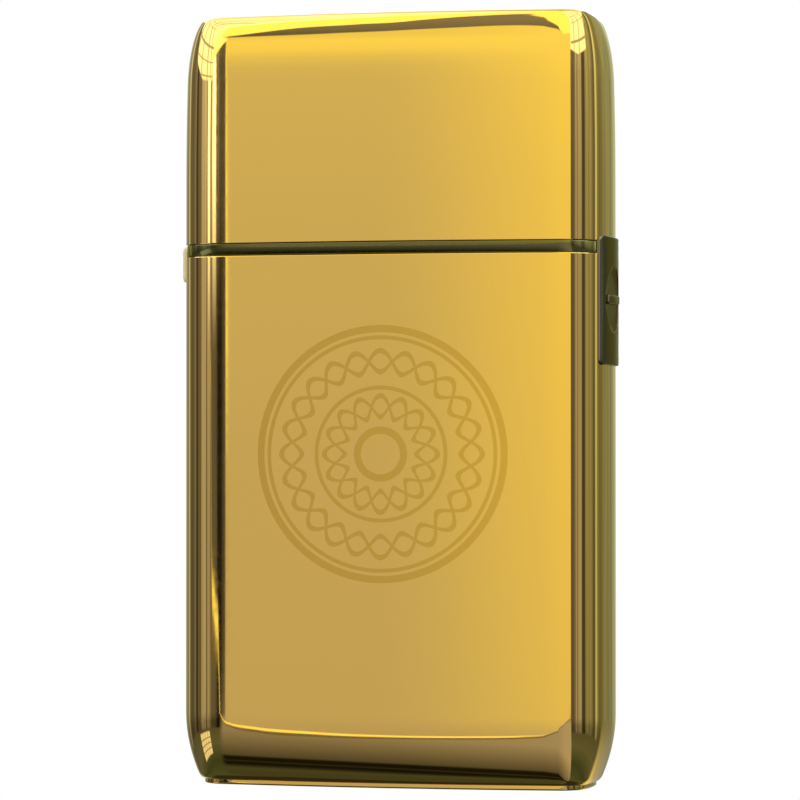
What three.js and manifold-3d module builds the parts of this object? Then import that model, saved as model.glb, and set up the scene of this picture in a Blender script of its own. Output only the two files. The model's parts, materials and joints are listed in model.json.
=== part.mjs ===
// Cordless pocket foil shaver with a pull-off cap.
// Millimetres, +Z up, origin at the middle of the underside. The front faces -Y and the
// switch is on the +X side.

import * as THREE from "three";
import { mergeVertices } from "three/addons/utils/BufferGeometryUtils.js";
import Module from "manifold-3d";

const wasm = await Module();
wasm.setup();

// ---------------------------------------------------------------- driving dimensions

const WIDTH = 58;
const DEPTH = 21.5;
const HEIGHT = 103.2;

// plan section: a shallow crown front and back, convex sides and round corners
const CROWN_RADIUS = 180;
const SIDE_RADIUS = 36;
const CORNER_RADIUS = 6;

const PLATE_THICKNESS = 0.7;
const PLATE_INSET = 2.6;
const PLATE_EDGE = 0.2;

// play between parts that lie on each other, and around parts that slide
const FIT = 0.05;
const REST_GAP = 0.02;
const SLIDE_GAP = 0.3;

const BAND_BOTTOM = 70.95;
const BAND_TOP = 72.5;
const BAND_RECESS = 0.15;
const BAND_THICKNESS = 1.6;
const NOTCH_DEPTH = 1.15;
const CAP_BOTTOM = BAND_TOP + FIT;

const SHELL_WALL = 1.5;
const SHELL_TOP = BAND_BOTTOM - FIT;
const SHELL_BOTTOM = PLATE_THICKNESS;
const FLOOR_TOP = 2.6;
const CAP_WALL = 1.3;
const ROOF_UNDERSIDE = HEIGHT - CAP_WALL;

// rounding of the lower and upper edges, as an inset and the height it takes
const FOOT_LEAN = { inset: 2.05, height: 9 };
const FOOT_EDGE = { inset: 0.35, height: 0.8 };
const ROOF_LEAN = { inset: 0.5, height: 22 };
const ROOF_EDGE = { inset: 2.4, height: 9 };

const TAB = { middle: 64.7, height: 17.1, halfDepth: 5.6, corner: 0.75, proud: 0.42 };
const TAB_LIFT = 0.08;
const TAB_TRAVEL = 3;
const DISH = { rim: 4.4, floor: 3.55, depth: 0.45 };
const RIB = { height: 1.2, length: 6.6, proud: 0.07 };
const BOSS = { middle: 64.9, height: 9.6, width: 9.8, depth: 0.65 };
const STEM = { middle: 61.8, height: 3, width: 3, inner: 25.1 };

const BUTTON = { middle: 70, height: 4.8, halfDepth: 4.5, corner: 0.9, proud: 0.49, depth: 0.9 };
const PLUNGER = { radius: 1.1, height: 69.05, inner: -24.7 };

const TRAY = { inset: 1.85, bottom: 66, floor: 67.6, top: 76, wall: 1.2 };
const FRAME = { bottom: 3.2, top: 65.4, plate: 1.6, halfWidth: 23.4, halfDepth: 6.2, post: 11.15 };
const MOTOR = { radius: 10.2, halfDepth: 7.7, bottom: 32, top: 62.2, wall: 0.8 };
const SHAFT_RADIUS = 1;
const BATTERY = { radius: 7.1, bottom: 7, top: 56, x: -19.3 };
const BOARD = { left: 13.2, right: 25, y: 4.2, thickness: 1.2, bottom: 16, top: 60 };
const CHIP = { left: 16.5, right: 21.5, bottom: 34, top: 40, thickness: 1.4 };
const CAPACITOR = { x: 18.6, radius: 2, bottom: 22, top: 29 };
const SWITCH_BODY = { left: 19, right: 23.2, front: -3.2, bottom: 55.6, top: 64.6 };
const ACTUATOR = { inner: 21.9, half: 1.4 };
const LEAD_RADIUS = 0.5;
const SOCKET = { x: 18, barrel: 3.2, bore: 2.75, pin: 0.8, bottom: 1, body: 5.2, top: 14 };

const HOUSING = { inset: 3.25, neckInset: 3.45, bottom: 68.4, shoulder: 80, top: 87 };
const WINDOW = { halfLength: 21.2, halfDepth: 5.65 };
const FOIL = { y: 2.8, radius: 2.6, thickness: 0.2, axis: 89.6, skirt: 82.5, halfLength: 20.1 };
const CARRIER = {
  halfLength: 20.8, cheek: 1.5, cheekHalf: 2.3, railHalf: 2.7, railWall: 0.4, bottom: 79.8, railTop: 82.4,
};
const CUTTER = {
  halfLength: 17.6, radius: 2.15, fins: 12, fin: 0.7, rail: 84.6, railHeight: 1.4, half: 1.5, boss: 81.5,
};
const POST = { radius: 0.75, top: 83.6 };
const BRIDGE = { halfLength: 9.8, halfDepth: 4.3, bottom: 74.35, top: 76 };
const YOKE = { halfLength: 4.6, halfDepth: 3.4, slotLength: 3.2, slotDepth: 2.2, bottom: 70.6 };
const GUIDE = { halfLength: 14.6, halfDepth: 5.4, gapLength: 11.6, gapDepth: 3.8, lip: 4.55, top: 76.6 };
const CAM = { radius: 2.4, bottom: 68.6, top: 70.2, pin: 0.7, throw: 1, pinTop: 73.6 };

const SCREW = { head: 1.7, headHeight: 1, shank: 0.85, slot: 0.4 };
const SCREW_CLEARANCE = 0.12;
const MOTOR_SCREW_TOP = FRAME.top + 0.45;
const HEAD_SINK = 0.1;

// ---------------------------------------------------------------- materials

function material(color, roughness, metalness) {
  return new THREE.MeshStandardMaterial({ color, roughness, metalness });
}

const GOLD = material(0xd2ab52, 0.08, 1);
const DARK_TRIM = material(0x3c3a20, 0.45, 0.2);
const PALE_GOLD = material(0xe6d3a0, 0.25, 0.6);
const BLACK_PLASTIC = material(0x1b1b1d, 0.5, 0);
const STEEL = material(0xb9bcc0, 0.3, 1);
const FOIL_METAL = material(0xd9b65c, 0.2, 1);
const COPPER = material(0xb8703a, 0.35, 1);
const RUBBER = material(0x222222, 0.8, 0);
const BOARD_GREEN = material(0x1e5b37, 0.5, 0);
const CELL_WRAP = material(0x2b4f8c, 0.4, 0);
const RED_WIRE = material(0xa02020, 0.5, 0);

// ---------------------------------------------------------------- solids

function toSolid(geometry) {
  const bare = geometry.clone();
  bare.deleteAttribute("normal");
  bare.deleteAttribute("uv");
  const merged = mergeVertices(bare, 1e-5);
  const mesh = new wasm.Mesh({
    numProp: 3,
    vertProperties: new Float32Array(merged.attributes.position.array),
    triVerts: new Uint32Array(merged.index.array),
  });
  return new wasm.Manifold(mesh);
}

function toGeometry(solid) {
  const mesh = solid.getMesh();
  const geometry = new THREE.BufferGeometry();
  geometry.setAttribute("position", new THREE.BufferAttribute(mesh.vertProperties, 3));
  geometry.setIndex(new THREE.BufferAttribute(mesh.triVerts, 1));
  geometry.computeVertexNormals();
  return geometry;
}

function union(...solids) {
  return solids.reduce((whole, solid) => whole.add(solid));
}

function cut(solid, ...tools) {
  return tools.reduce((rest, tool) => rest.subtract(tool), solid);
}

// a box from its low to its high corner
function block(x0, x1, y0, y1, z0, z1) {
  const geometry = new THREE.BoxGeometry(x1 - x0, y1 - y0, z1 - z0);
  geometry.translate((x0 + x1) / 2, (y0 + y1) / 2, (z0 + z1) / 2);
  return toSolid(geometry);
}

// a box centred on the Z axis in plan
function slab(halfX, halfY, z0, z1) {
  return block(-halfX, halfX, -halfY, halfY, z0, z1);
}

function upright(radius, z0, z1, x = 0, y = 0, segments = 20) {
  const geometry = new THREE.CylinderGeometry(radius, radius, z1 - z0, segments);
  geometry.rotateX(Math.PI / 2);
  geometry.translate(x, y, (z0 + z1) / 2);
  return toSolid(geometry);
}

function lyingX(radius, x0, x1, y, z, segments = 16) {
  const geometry = new THREE.CylinderGeometry(radius, radius, x1 - x0, segments);
  geometry.rotateZ(-Math.PI / 2);
  geometry.translate((x0 + x1) / 2, y, z);
  return toSolid(geometry);
}

// a solid of revolution about Z from (radius, height) pairs that start and end on the axis
function turned(profile, segments = 20) {
  const points = profile.map(([radius, height]) => new THREE.Vector2(radius, height));
  const geometry = new THREE.LatheGeometry(points, segments);
  geometry.rotateX(Math.PI / 2);
  return toSolid(geometry);
}

function roundedShape(halfX, halfY, radius) {
  const shape = new THREE.Shape();
  shape.moveTo(-halfX + radius, -halfY);
  shape.lineTo(halfX - radius, -halfY);
  shape.absarc(halfX - radius, -halfY + radius, radius, -Math.PI / 2, 0);
  shape.lineTo(halfX, halfY - radius);
  shape.absarc(halfX - radius, halfY - radius, radius, 0, Math.PI / 2);
  shape.lineTo(-halfX + radius, halfY);
  shape.absarc(-halfX + radius, halfY - radius, radius, Math.PI / 2, Math.PI);
  shape.lineTo(-halfX, -halfY + radius);
  shape.absarc(-halfX + radius, -halfY + radius, radius, Math.PI, Math.PI * 1.5);
  return shape;
}

// a rounded rectangle drawn on the side of the body (Y across, Z up) and run along X
function sidePlug(halfY, halfZ, radius, middleZ, x0, x1) {
  const options = { depth: x1 - x0, bevelEnabled: false, curveSegments: 5 };
  const geometry = new THREE.ExtrudeGeometry(roundedShape(halfY, halfZ, radius), options);
  geometry.applyMatrix4(new THREE.Matrix4().makeBasis(
    new THREE.Vector3(0, 1, 0), new THREE.Vector3(0, 0, 1), new THREE.Vector3(1, 0, 0)));
  geometry.translate(x0, 0, middleZ);
  return toSolid(geometry);
}

function sweep(points, radius, steps, sides) {
  const shape = new THREE.Shape();
  shape.absarc(0, 0, radius, 0, Math.PI * 2);
  const path = new THREE.CatmullRomCurve3(points.map(([x, y, z]) => new THREE.Vector3(x, y, z)));
  const options = { steps, curveSegments: sides / 2, bevelEnabled: false, extrudePath: path };
  return toSolid(new THREE.ExtrudeGeometry(shape, options));
}

// a compression spring about a line parallel to Z
function coil(meanRadius, wire, turns, z0, z1, x, y) {
  const stepsPerTurn = 8;
  const count = turns * stepsPerTurn;
  const points = [];
  for (let i = 0; i <= count; i += 1) {
    const angle = (2 * Math.PI * i) / stepsPerTurn;
    const z = z0 + wire + ((z1 - z0 - 2 * wire) * i) / count;
    points.push([x + meanRadius * Math.cos(angle), y + meanRadius * Math.sin(angle), z]);
  }
  return sweep(points, wire, count, 4);
}

// ---------------------------------------------------------------- plan section

const ARC_SEGMENTS = 100;
const sideCentre = WIDTH / 2 - SIDE_RADIUS;
const crownCentre = DEPTH / 2 - CROWN_RADIUS;

// centre of the corner arc in the +X +Y quarter, inside both the side and the crown arc
function cornerCentre() {
  const toSide = SIDE_RADIUS - CORNER_RADIUS;
  const toCrown = CROWN_RADIUS - CORNER_RADIUS;
  const apart = Math.hypot(sideCentre, crownCentre);
  const along = (toSide ** 2 - toCrown ** 2 + apart ** 2) / (2 * apart);
  const aside = Math.sqrt(toSide ** 2 - along ** 2);
  const ux = -sideCentre / apart;
  const uy = crownCentre / apart;
  return { x: sideCentre + along * ux - aside * uy, y: along * uy + aside * ux };
}

const CORNER = cornerCentre();
const sideAngle = Math.atan2(CORNER.y, CORNER.x - sideCentre);
const crownAngle = Math.atan2(CORNER.y - crownCentre, CORNER.x);

// one quarter of the outline, from the +X side to just short of the +Y side
function quarter(inset) {
  const points = [];
  const arc = (cx, cy, radius, from, to, steps) => {
    for (let i = 0; i < steps; i += 1) {
      const angle = from + ((to - from) * i) / steps;
      points.push([cx + radius * Math.cos(angle), cy + radius * Math.sin(angle)]);
    }
  };
  arc(sideCentre, 0, SIDE_RADIUS - inset, 0, sideAngle, 2);
  arc(CORNER.x, CORNER.y, CORNER_RADIUS - inset, sideAngle, crownAngle, 5);
  arc(0, crownCentre, CROWN_RADIUS - inset, crownAngle, Math.PI / 2, 3);
  return points;
}

// the whole outline, counterclockwise, drawn in by an inset
function outline(inset) {
  const first = quarter(inset);
  const onSide = [first[0]];
  const rest = first.slice(1);
  const onTop = [[0, DEPTH / 2 - inset]];
  const mirrored = (list, sx, sy) => list.map(([x, y]) => [sx * x, sy * y]);
  return [
    ...onSide, ...rest, ...onTop, ...mirrored(rest, -1, 1).reverse(),
    ...mirrored(onSide, -1, 1), ...mirrored(rest, -1, -1), ...mirrored(onTop, 1, -1),
    ...mirrored(rest, 1, -1).reverse(),
  ];
}

// a closed solid through sections given as [inset, height], lowest first
function loft(sections) {
  const rings = sections.map(([inset, z]) => outline(inset).map(([x, y]) => [x, y, z]));
  const count = rings[0].length;
  const positions = rings.flat(2);
  const index = [];
  for (let r = 0; r < rings.length - 1; r += 1) {
    for (let i = 0; i < count; i += 1) {
      const a = r * count + i;
      const b = r * count + ((i + 1) % count);
      index.push(a, b, b + count, a, b + count, a + count);
    }
  }
  const top = (rings.length - 1) * count;
  for (let i = 1; i < count - 1; i += 1) {
    index.push(0, i + 1, i, top, top + i, top + i + 1);
  }
  const geometry = new THREE.BufferGeometry();
  geometry.setAttribute("position", new THREE.Float32BufferAttribute(positions, 3));
  geometry.setIndex(index);
  return toSolid(geometry);
}

// inset of a rounded edge at a distance from the end face
function edgeInset(distance, edge) {
  const along = Math.max(0, 1 - distance / edge.height);
  return edge.inset * (1 - Math.sqrt(1 - along ** 2));
}

// inset of a face that curves inwards towards the end face
function leanInset(distance, lean) {
  return lean.inset * Math.max(0, 1 - distance / lean.height) ** 2;
}

function footInset(z) {
  const distance = z - SHELL_BOTTOM;
  return leanInset(distance, FOOT_LEAN) + edgeInset(distance, FOOT_EDGE);
}

function roofInset(z) {
  const distance = HEIGHT - z;
  return leanInset(distance, ROOF_LEAN) + edgeInset(distance, ROOF_EDGE);
}

// heights over a rounded edge, close together near the end face
function edgeSteps(height, count) {
  return Array.from({ length: count + 1 }, (_, i) => height * (1 - Math.cos((Math.PI * i) / (2 * count))));
}

// ---------------------------------------------------------------- body and cap

// sections from the bottom to the top of the body, drawn in by a wall thickness
function footSections(wall, bottom, top) {
  const edge = edgeSteps(FOOT_EDGE.height, 2);
  const lean = [0.22, 0.42, 0.68, 1].map((share) => FOOT_LEAN.height * share);
  const heights = [...edge, ...lean].map((h) => SHELL_BOTTOM + h).filter((z) => z > bottom + FIT);
  return [bottom, ...heights, top].map((z) => [wall + footInset(z), z]);
}

function bodyShell() {
  const outside = loft(footSections(0, SHELL_BOTTOM, SHELL_TOP));
  const inside = loft(footSections(SHELL_WALL, FLOOR_TOP, SHELL_TOP + 1));
  const pocketFloor = SIDE_RADIUS - BOSS.depth - 0.25;
  const pocketHalf = BOSS.width / 2 + SLIDE_GAP;
  const pocketLow = BOSS.middle - BOSS.height / 2 - TAB_TRAVEL - SLIDE_GAP;
  const pocketHigh = BOSS.middle + BOSS.height / 2 + SLIDE_GAP;
  const pocket = cut(
    block(20, 32, -pocketHalf, pocketHalf, pocketLow, pocketHigh),
    upright(pocketFloor, 0, HEIGHT, sideCentre, 0, ARC_SEGMENTS));
  const slotHalf = STEM.width / 2 + SLIDE_GAP;
  const stemLow = STEM.middle - STEM.height / 2 - TAB_TRAVEL - SLIDE_GAP;
  const stemHigh = STEM.middle + STEM.height / 2 + SLIDE_GAP;
  const slot = block(24, 32, -slotHalf, slotHalf, stemLow, stemHigh);
  const buttonLow = BUTTON.middle - BUTTON.height / 2 - SLIDE_GAP;
  const buttonHalf = BUTTON.halfDepth + SLIDE_GAP;
  const buttonGap = block(-32, -24, -buttonHalf, buttonHalf, buttonLow, SHELL_TOP + 1);
  const socketHole = upright(SOCKET.barrel + SLIDE_GAP, 0, FLOOR_TOP + 1, SOCKET.x);
  const screwHoles = baseScrewPlaces.map(([x, y]) => screwHole(x, y, SHELL_BOTTOM, FLOOR_TOP + 1));
  return cut(outside, inside, pocket, slot, buttonGap, socketHole, ...screwHoles);
}

function basePlate() {
  const plate = loft([
    [PLATE_INSET + PLATE_EDGE, 0], [PLATE_INSET, PLATE_EDGE], [PLATE_INSET, PLATE_THICKNESS - REST_GAP]]);
  return cut(plate, upright(SOCKET.bore + SLIDE_GAP, -1, PLATE_THICKNESS + 1, SOCKET.x));
}

function partingBand() {
  const outer = loft([[BAND_RECESS, BAND_BOTTOM], [BAND_RECESS, BAND_TOP]]);
  const inner = loft([[BAND_THICKNESS, BAND_BOTTOM - 1], [BAND_THICKNESS, BAND_TOP + 1]]);
  const notchFloor = SIDE_RADIUS - NOTCH_DEPTH;
  const half = BUTTON.halfDepth + SLIDE_GAP;
  const notch = cut(
    block(-32, -20, -half, half, BAND_BOTTOM - 1, BAND_TOP + 1),
    upright(notchFloor, 0, HEIGHT, -sideCentre, 0, ARC_SEGMENTS));
  return cut(outer, inner, notch);
}

function protectiveCap() {
  const edge = edgeSteps(ROOF_EDGE.height, 5).map((h) => HEIGHT - h).reverse();
  const lean = [1, 0.7].map((share) => HEIGHT - ROOF_LEAN.height * share);
  const outer = [CAP_BOTTOM, ...lean, ...edge];
  const outside = loft(outer.map((z) => [roofInset(z), z]));
  const inner = outer.filter((z) => z > CAP_BOTTOM && z < ROOF_UNDERSIDE);
  const inside = loft([CAP_BOTTOM - 1, ...inner, ROOF_UNDERSIDE].map((z) => [CAP_WALL + roofInset(z), z]));
  return cut(outside, inside);
}

// ---------------------------------------------------------------- side controls

// a plate that follows the convex side between two arc radii
function curvedPlate(halfY, height, corner, middle, innerRadius, outerRadius) {
  const plug = sidePlug(halfY, height / 2, corner, middle, 24, 32);
  const outer = upright(outerRadius, 0, HEIGHT, sideCentre, 0, ARC_SEGMENTS);
  const inner = upright(innerRadius, -1, HEIGHT + 1, sideCentre, 0, ARC_SEGMENTS);
  return plug.intersect(outer).subtract(inner);
}

function switchSlider() {
  const face = SIDE_RADIUS + TAB.proud;
  const plate = curvedPlate(TAB.halfDepth, TAB.height, TAB.corner, TAB.middle,
    SIDE_RADIUS + TAB_LIFT, face);
  const boss = curvedPlate(BOSS.width / 2, BOSS.height, TAB.corner, BOSS.middle,
    SIDE_RADIUS - BOSS.depth, face);
  const faceX = sideCentre + face;
  const floorX = faceX - DISH.depth;
  const cone = new THREE.CylinderGeometry(DISH.rim + 0.9, DISH.floor, DISH.depth * 2, 30);
  cone.rotateZ(-Math.PI / 2);
  cone.translate(floorX + DISH.depth, 0, BOSS.middle);
  const rib = sidePlug(RIB.length / 2, RIB.height / 2, RIB.height * 0.45, BOSS.middle,
    floorX - 0.2, faceX + RIB.proud);
  const stem = block(STEM.inner, sideCentre + SIDE_RADIUS - BOSS.depth + 0.1,
    -STEM.width / 2, STEM.width / 2, STEM.middle - STEM.height / 2, STEM.middle + STEM.height / 2);
  return union(cut(union(plate, boss), toSolid(cone)), rib, stem);
}

function releaseButton() {
  const face = SIDE_RADIUS + BUTTON.proud;
  const plate = curvedPlate(BUTTON.halfDepth, BUTTON.height, BUTTON.corner, BUTTON.middle,
    face - BUTTON.depth, face).mirror([1, 0, 0]);
  const backX = -(sideCentre + face - BUTTON.depth);
  return union(plate, lyingX(PLUNGER.radius, backX - 0.2, PLUNGER.inner, 0, PLUNGER.height));
}

function releaseSpring() {
  const backX = sideCentre + SIDE_RADIUS + BUTTON.proud - BUTTON.depth;
  const trayX = sideCentre + SIDE_RADIUS - TRAY.inset;
  const spring = coil(1.45, 0.18, 2, trayX + FIT, backX - FIT, 0, 0);
  return spring.rotate([0, -90, 0]).translate([0, 0, PLUNGER.height]);
}

// ---------------------------------------------------------------- screws

const baseScrewPlaces = [[-14, 0], [9, 0]];
const frameScrewPlaces = [[-16.6, 0], [16.6, 0]];
const guideScrewPlaces = [[-13, 0], [13, 0]];
const motorScrewPlaces = [[-6.5, 0], [6.5, 0]];

function shankHole(x, y, low, high) {
  return upright(SCREW.shank + SCREW_CLEARANCE, low, high, x, y, 12);
}

// head downward at the underside of the floor, shank upward
function screwHole(x, y, low, high) {
  return union(
    upright(SCREW.head + SCREW_CLEARANCE, low - 1, low + SCREW.headHeight + HEAD_SINK, x, y, 16),
    shankHole(x, y, low, high));
}

// a cross-slotted screw whose head's top face is at z, with its shank downward
function screw(x, y, z, length) {
  const body = turned([
    [0, z - length], [SCREW.shank * 0.7, z - length], [SCREW.shank, z - length + 0.6],
    [SCREW.shank, z - SCREW.headHeight], [SCREW.head, z - SCREW.headHeight],
    [SCREW.head, z - 0.35], [SCREW.head - 0.4, z], [0, z]], 12).translate([x, y, 0]);
  const half = SCREW.slot / 2;
  const reach = SCREW.head * 0.62;
  return cut(body,
    block(x - reach, x + reach, y - half, y + half, z - 0.5, z + 1),
    block(x - half, x + half, y - reach, y + reach, z - 0.5, z + 1));
}

// the same screw with its head at the bottom
function invertedScrew(x, y, z, length) {
  return screw(x, y, 0, length).mirror([0, 0, 1]).translate([0, 0, z]);
}

// ---------------------------------------------------------------- deck under the cap

function headTray() {
  const outer = loft([[TRAY.inset, TRAY.bottom], [TRAY.inset, TRAY.top - 0.6],
    [TRAY.inset + 0.4, TRAY.top]]);
  const inner = loft([[TRAY.inset + TRAY.wall, TRAY.floor], [TRAY.inset + TRAY.wall, TRAY.top + 1]]);
  const shanks = [...frameScrewPlaces, ...guideScrewPlaces].map(([x, y]) =>
    shankHole(x, y, TRAY.bottom - 1, TRAY.floor + 1));
  const plungerHole = lyingX(PLUNGER.radius + SLIDE_GAP, -32, -20, 0, PLUNGER.height);
  return cut(outer, inner, upright(SHAFT_RADIUS + 1.2, TRAY.bottom - 1, TRAY.floor + 1),
    plungerHole, ...shanks);
}

function shaftSeal() {
  const low = TRAY.floor + REST_GAP;
  return cut(upright(3.4, low, low + 0.7), upright(SHAFT_RADIUS + 0.2, low - 1, low + 2));
}

function bridgeGuide() {
  const low = TRAY.floor + REST_GAP;
  const ledge = BRIDGE.bottom - 0.15;
  const block0 = slab(GUIDE.halfLength, GUIDE.halfDepth, low, GUIDE.top);
  const shanks = guideScrewPlaces.map(([x, y]) => shankHole(x, y, low - 1, GUIDE.top));
  const endCut = (side) => block(
    side > 0 ? GUIDE.gapLength : -GUIDE.halfLength - 1,
    side > 0 ? GUIDE.halfLength + 1 : -GUIDE.gapLength,
    -GUIDE.lip, GUIDE.lip, low + 1.6, GUIDE.top + 1);
  return cut(block0, slab(GUIDE.gapLength, GUIDE.gapDepth, low - 1, GUIDE.top + 1),
    slab(GUIDE.gapLength, GUIDE.lip, ledge, GUIDE.top + 1), endCut(1), endCut(-1), ...shanks);
}

function driveBridge() {
  const plate = slab(BRIDGE.halfLength, BRIDGE.halfDepth, BRIDGE.bottom, BRIDGE.top);
  const yoke = cut(
    slab(YOKE.halfLength, YOKE.halfDepth, YOKE.bottom, BRIDGE.bottom + 0.1),
    slab(YOKE.slotLength, YOKE.slotDepth, YOKE.bottom - 1, BRIDGE.bottom));
  const posts = [-FOIL.y, FOIL.y].map((y) =>
    upright(POST.radius, BRIDGE.top - 0.2, POST.top, 0, y, 16));
  return union(plate, yoke, ...posts);
}

function eccentricCam() {
  const hub = upright(CAM.radius, CAM.bottom, CAM.top, 0, 0, 24);
  const pin = upright(CAM.pin, CAM.top - 0.2, CAM.pinTop, CAM.throw, 0, 16);
  const bore = upright(SHAFT_RADIUS + 0.05, CAM.bottom - 1, CAM.top - 0.4, 0, 0, 24);
  return union(cut(hub, bore), pin);
}

// ---------------------------------------------------------------- shaving head

function foilHousing() {
  const { inset, neckInset, bottom, shoulder, top } = HOUSING;
  const frame = loft([[inset, bottom], [inset, shoulder], [neckInset, shoulder + 0.3],
    [neckInset, top - 0.5], [neckInset + 0.4, top]]);
  const window = slab(WINDOW.halfLength, WINDOW.halfDepth, HOUSING.bottom - 1, HOUSING.top + 1);
  const latchGap = block(-32, -WINDOW.halfLength + 1, -2.2, 2.2, HOUSING.bottom - 1, 72);
  return cut(frame, window, latchGap);
}

// an arched sheet of metal with straight skirts
function foil(y) {
  const arch = (radius, halfLength, skirt) => union(
    lyingX(radius, -halfLength, halfLength, y, FOIL.axis, 28),
    block(-halfLength, halfLength, y - radius, y + radius, skirt, FOIL.axis));
  const outer = arch(FOIL.radius, FOIL.halfLength, FOIL.skirt);
  const inner = arch(FOIL.radius - FOIL.thickness, FOIL.halfLength + 1, FOIL.skirt - 1);
  const below = block(-30, 30, y - 5, y + 5, FOIL.axis - 20, FOIL.skirt);
  return cut(outer, inner, below);
}

// the floating frame of one foil: a rail that runs round under its skirts, and a half-round cheek
// inside each of its ends
function foilCarrier(y) {
  const { halfLength, cheek, cheekHalf, railHalf, railWall, bottom, railTop } = CARRIER;
  const across = (half, x0, x1, low, high) => block(x0, x1, y - half, y + half, low, high);
  const cheeks = union(
    across(cheekHalf, -halfLength, halfLength, bottom, FOIL.axis),
    lyingX(cheekHalf, -halfLength, halfLength, y, FOIL.axis, 24));
  const between = across(WINDOW.halfDepth, cheek - halfLength, halfLength - cheek, bottom - 1, HEIGHT);
  const rail = cut(
    across(railHalf, -halfLength, halfLength, bottom, railTop),
    across(railHalf - railWall, cheek - halfLength, halfLength - cheek, bottom - 1, railTop + 1));
  return union(cut(cheeks, between), rail);
}

// a comb of half-round fins on a rail, with a socket for its drive post
function cutter(y) {
  const { halfLength, radius, fins, fin, rail, railHeight, half, boss } = CUTTER;
  const spine = block(-halfLength, halfLength, y - half, y + half, rail, rail + railHeight);
  const hub = upright(half, boss, rail + 0.2, 0, y, 16);
  const pitch = (2 * halfLength - fin) / (fins - 1);
  const comb = Array.from({ length: fins }, (_, i) => {
    const x = -halfLength + i * pitch;
    return union(
      lyingX(radius, x, x + fin, y, FOIL.axis, 12),
      block(x, x + fin, y - half, y + half, rail + railHeight - 0.2, FOIL.axis));
  });
  const socket = upright(POST.radius + 0.2, boss - 1, rail + 0.8, 0, y, 12);
  return cut(union(spine, hub, ...comb), socket);
}

function cutterSpring(y) {
  return coil(1.15, 0.2, 4, BRIDGE.top + FIT, CUTTER.boss - FIT, 0, y);
}

// ---------------------------------------------------------------- drive and power

// a round can with two flats, drawn in by a wall thickness
function flatCan(wall, z0, z1) {
  return upright(MOTOR.radius - wall, z0, z1, 0, 0, 36)
    .intersect(slab(MOTOR.radius, MOTOR.halfDepth - wall, z0, z1));
}

function motorCan() {
  const nose = upright(3.1, MOTOR.top - 0.2, MOTOR.top + 1);
  const hollow = flatCan(MOTOR.wall, MOTOR.bottom - 1, MOTOR.top - MOTOR.wall);
  const bore = upright(SHAFT_RADIUS + 0.15, MOTOR.top - 4, MOTOR.top + 3);
  const threads = motorScrewPlaces.map(([x, y]) =>
    shankHole(x, y, MOTOR.top - 3, MOTOR.top + 1));
  return cut(union(flatCan(0, MOTOR.bottom, MOTOR.top), nose), hollow, bore, ...threads);
}

function motorEndcap() {
  const cover = flatCan(0, MOTOR.bottom - 1.8, MOTOR.bottom - REST_GAP);
  const terminal = (x) => block(x - 0.9, x + 0.9, -0.25, 0.25, MOTOR.bottom - 3.6, MOTOR.bottom - 1.6);
  const bearing = upright(SHAFT_RADIUS + 0.1, MOTOR.bottom - 1.2, MOTOR.bottom + 1);
  return cut(union(cover, terminal(-5), terminal(5)), bearing);
}

function motorMagnet(side) {
  const ring = cut(flatCan(MOTOR.wall + 0.05, MOTOR.bottom + 4, MOTOR.top - 5),
    upright(7.4, MOTOR.bottom, MOTOR.top, 0, 0, 36));
  return ring.intersect(block(side > 0 ? 3 : -20, side > 0 ? 20 : -3, -4.6, 4.6, 0, HEIGHT));
}

function motorRotor() {
  const core = upright(6.6, MOTOR.bottom + 5, MOTOR.top - 6, 0, 0, 30);
  const slots = [0, 1, 2].map((i) => {
    const angle = Math.PI / 3 + (2 * Math.PI * i) / 3;
    return upright(1.3, MOTOR.bottom, MOTOR.top, 6.4 * Math.cos(angle), 6.4 * Math.sin(angle), 12);
  });
  const commutator = upright(2, MOTOR.bottom + 0.8, MOTOR.bottom + 5.2, 0, 0, 12);
  const shaft = upright(SHAFT_RADIUS, MOTOR.bottom - 1, CAM.top - 0.6, 0, 0, 20);
  return union(cut(core, ...slots), commutator, shaft);
}

function innerFrame() {
  const { bottom, top, plate, halfWidth, halfDepth, post } = FRAME;
  const low = slab(halfWidth, halfDepth, bottom, bottom + plate);
  const high = slab(halfWidth, halfDepth, top - plate, top);
  const posts = [-post, post].map((x) =>
    block(x - 0.5, x + 0.5, -halfDepth, halfDepth, bottom + 0.5, top - 0.5));
  const shelf = slab(post, halfDepth, 25.6, 27);
  const bosses = frameScrewPlaces.map(([x, y]) => upright(2.2, top - 5.4, top - 0.5, x, y, 16));
  const feet = baseScrewPlaces.map(([x, y]) => upright(2.2, FLOOR_TOP + REST_GAP, bottom + 3, x, y, 16));
  const openings = [
    upright(3.4, top - 4, top + 1),
    block(SOCKET.x - 4.8, SOCKET.x + 4.8, -4.6, 4.6, bottom - 1, bottom + plate + 1),
    block(-6.2, 6.2, -5, 4, 20, 30),
    block(18.6, 30, -3.6, 4.6, top - plate - 1, top + 1),
  ];
  const shanks = [...frameScrewPlaces, ...motorScrewPlaces].map(([x, y]) =>
    shankHole(x, y, top - 6.4, top + 1));
  const heads = motorScrewPlaces.map(([x, y]) =>
    upright(SCREW.head + SCREW_CLEARANCE, MOTOR_SCREW_TOP - SCREW.headHeight - 0.05, top + 1, x, y, 16));
  const footHoles = baseScrewPlaces.map(([x, y]) => shankHole(x, y, 0, bottom + 3.4));
  const solid = union(low, high, ...posts, shelf, ...bosses, ...feet);
  return cut(solid, ...openings, ...shanks, ...heads, ...footHoles);
}

function batteryCell() {
  const { radius, bottom, top } = BATTERY;
  return turned([
    [0, bottom], [radius - 0.5, bottom], [radius, bottom + 0.5], [radius, top - 1.6],
    [radius - 0.6, top - 1], [2.6, top - 1], [2.6, top], [0, top]], 24).translate([BATTERY.x, 0, 0]);
}

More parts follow.
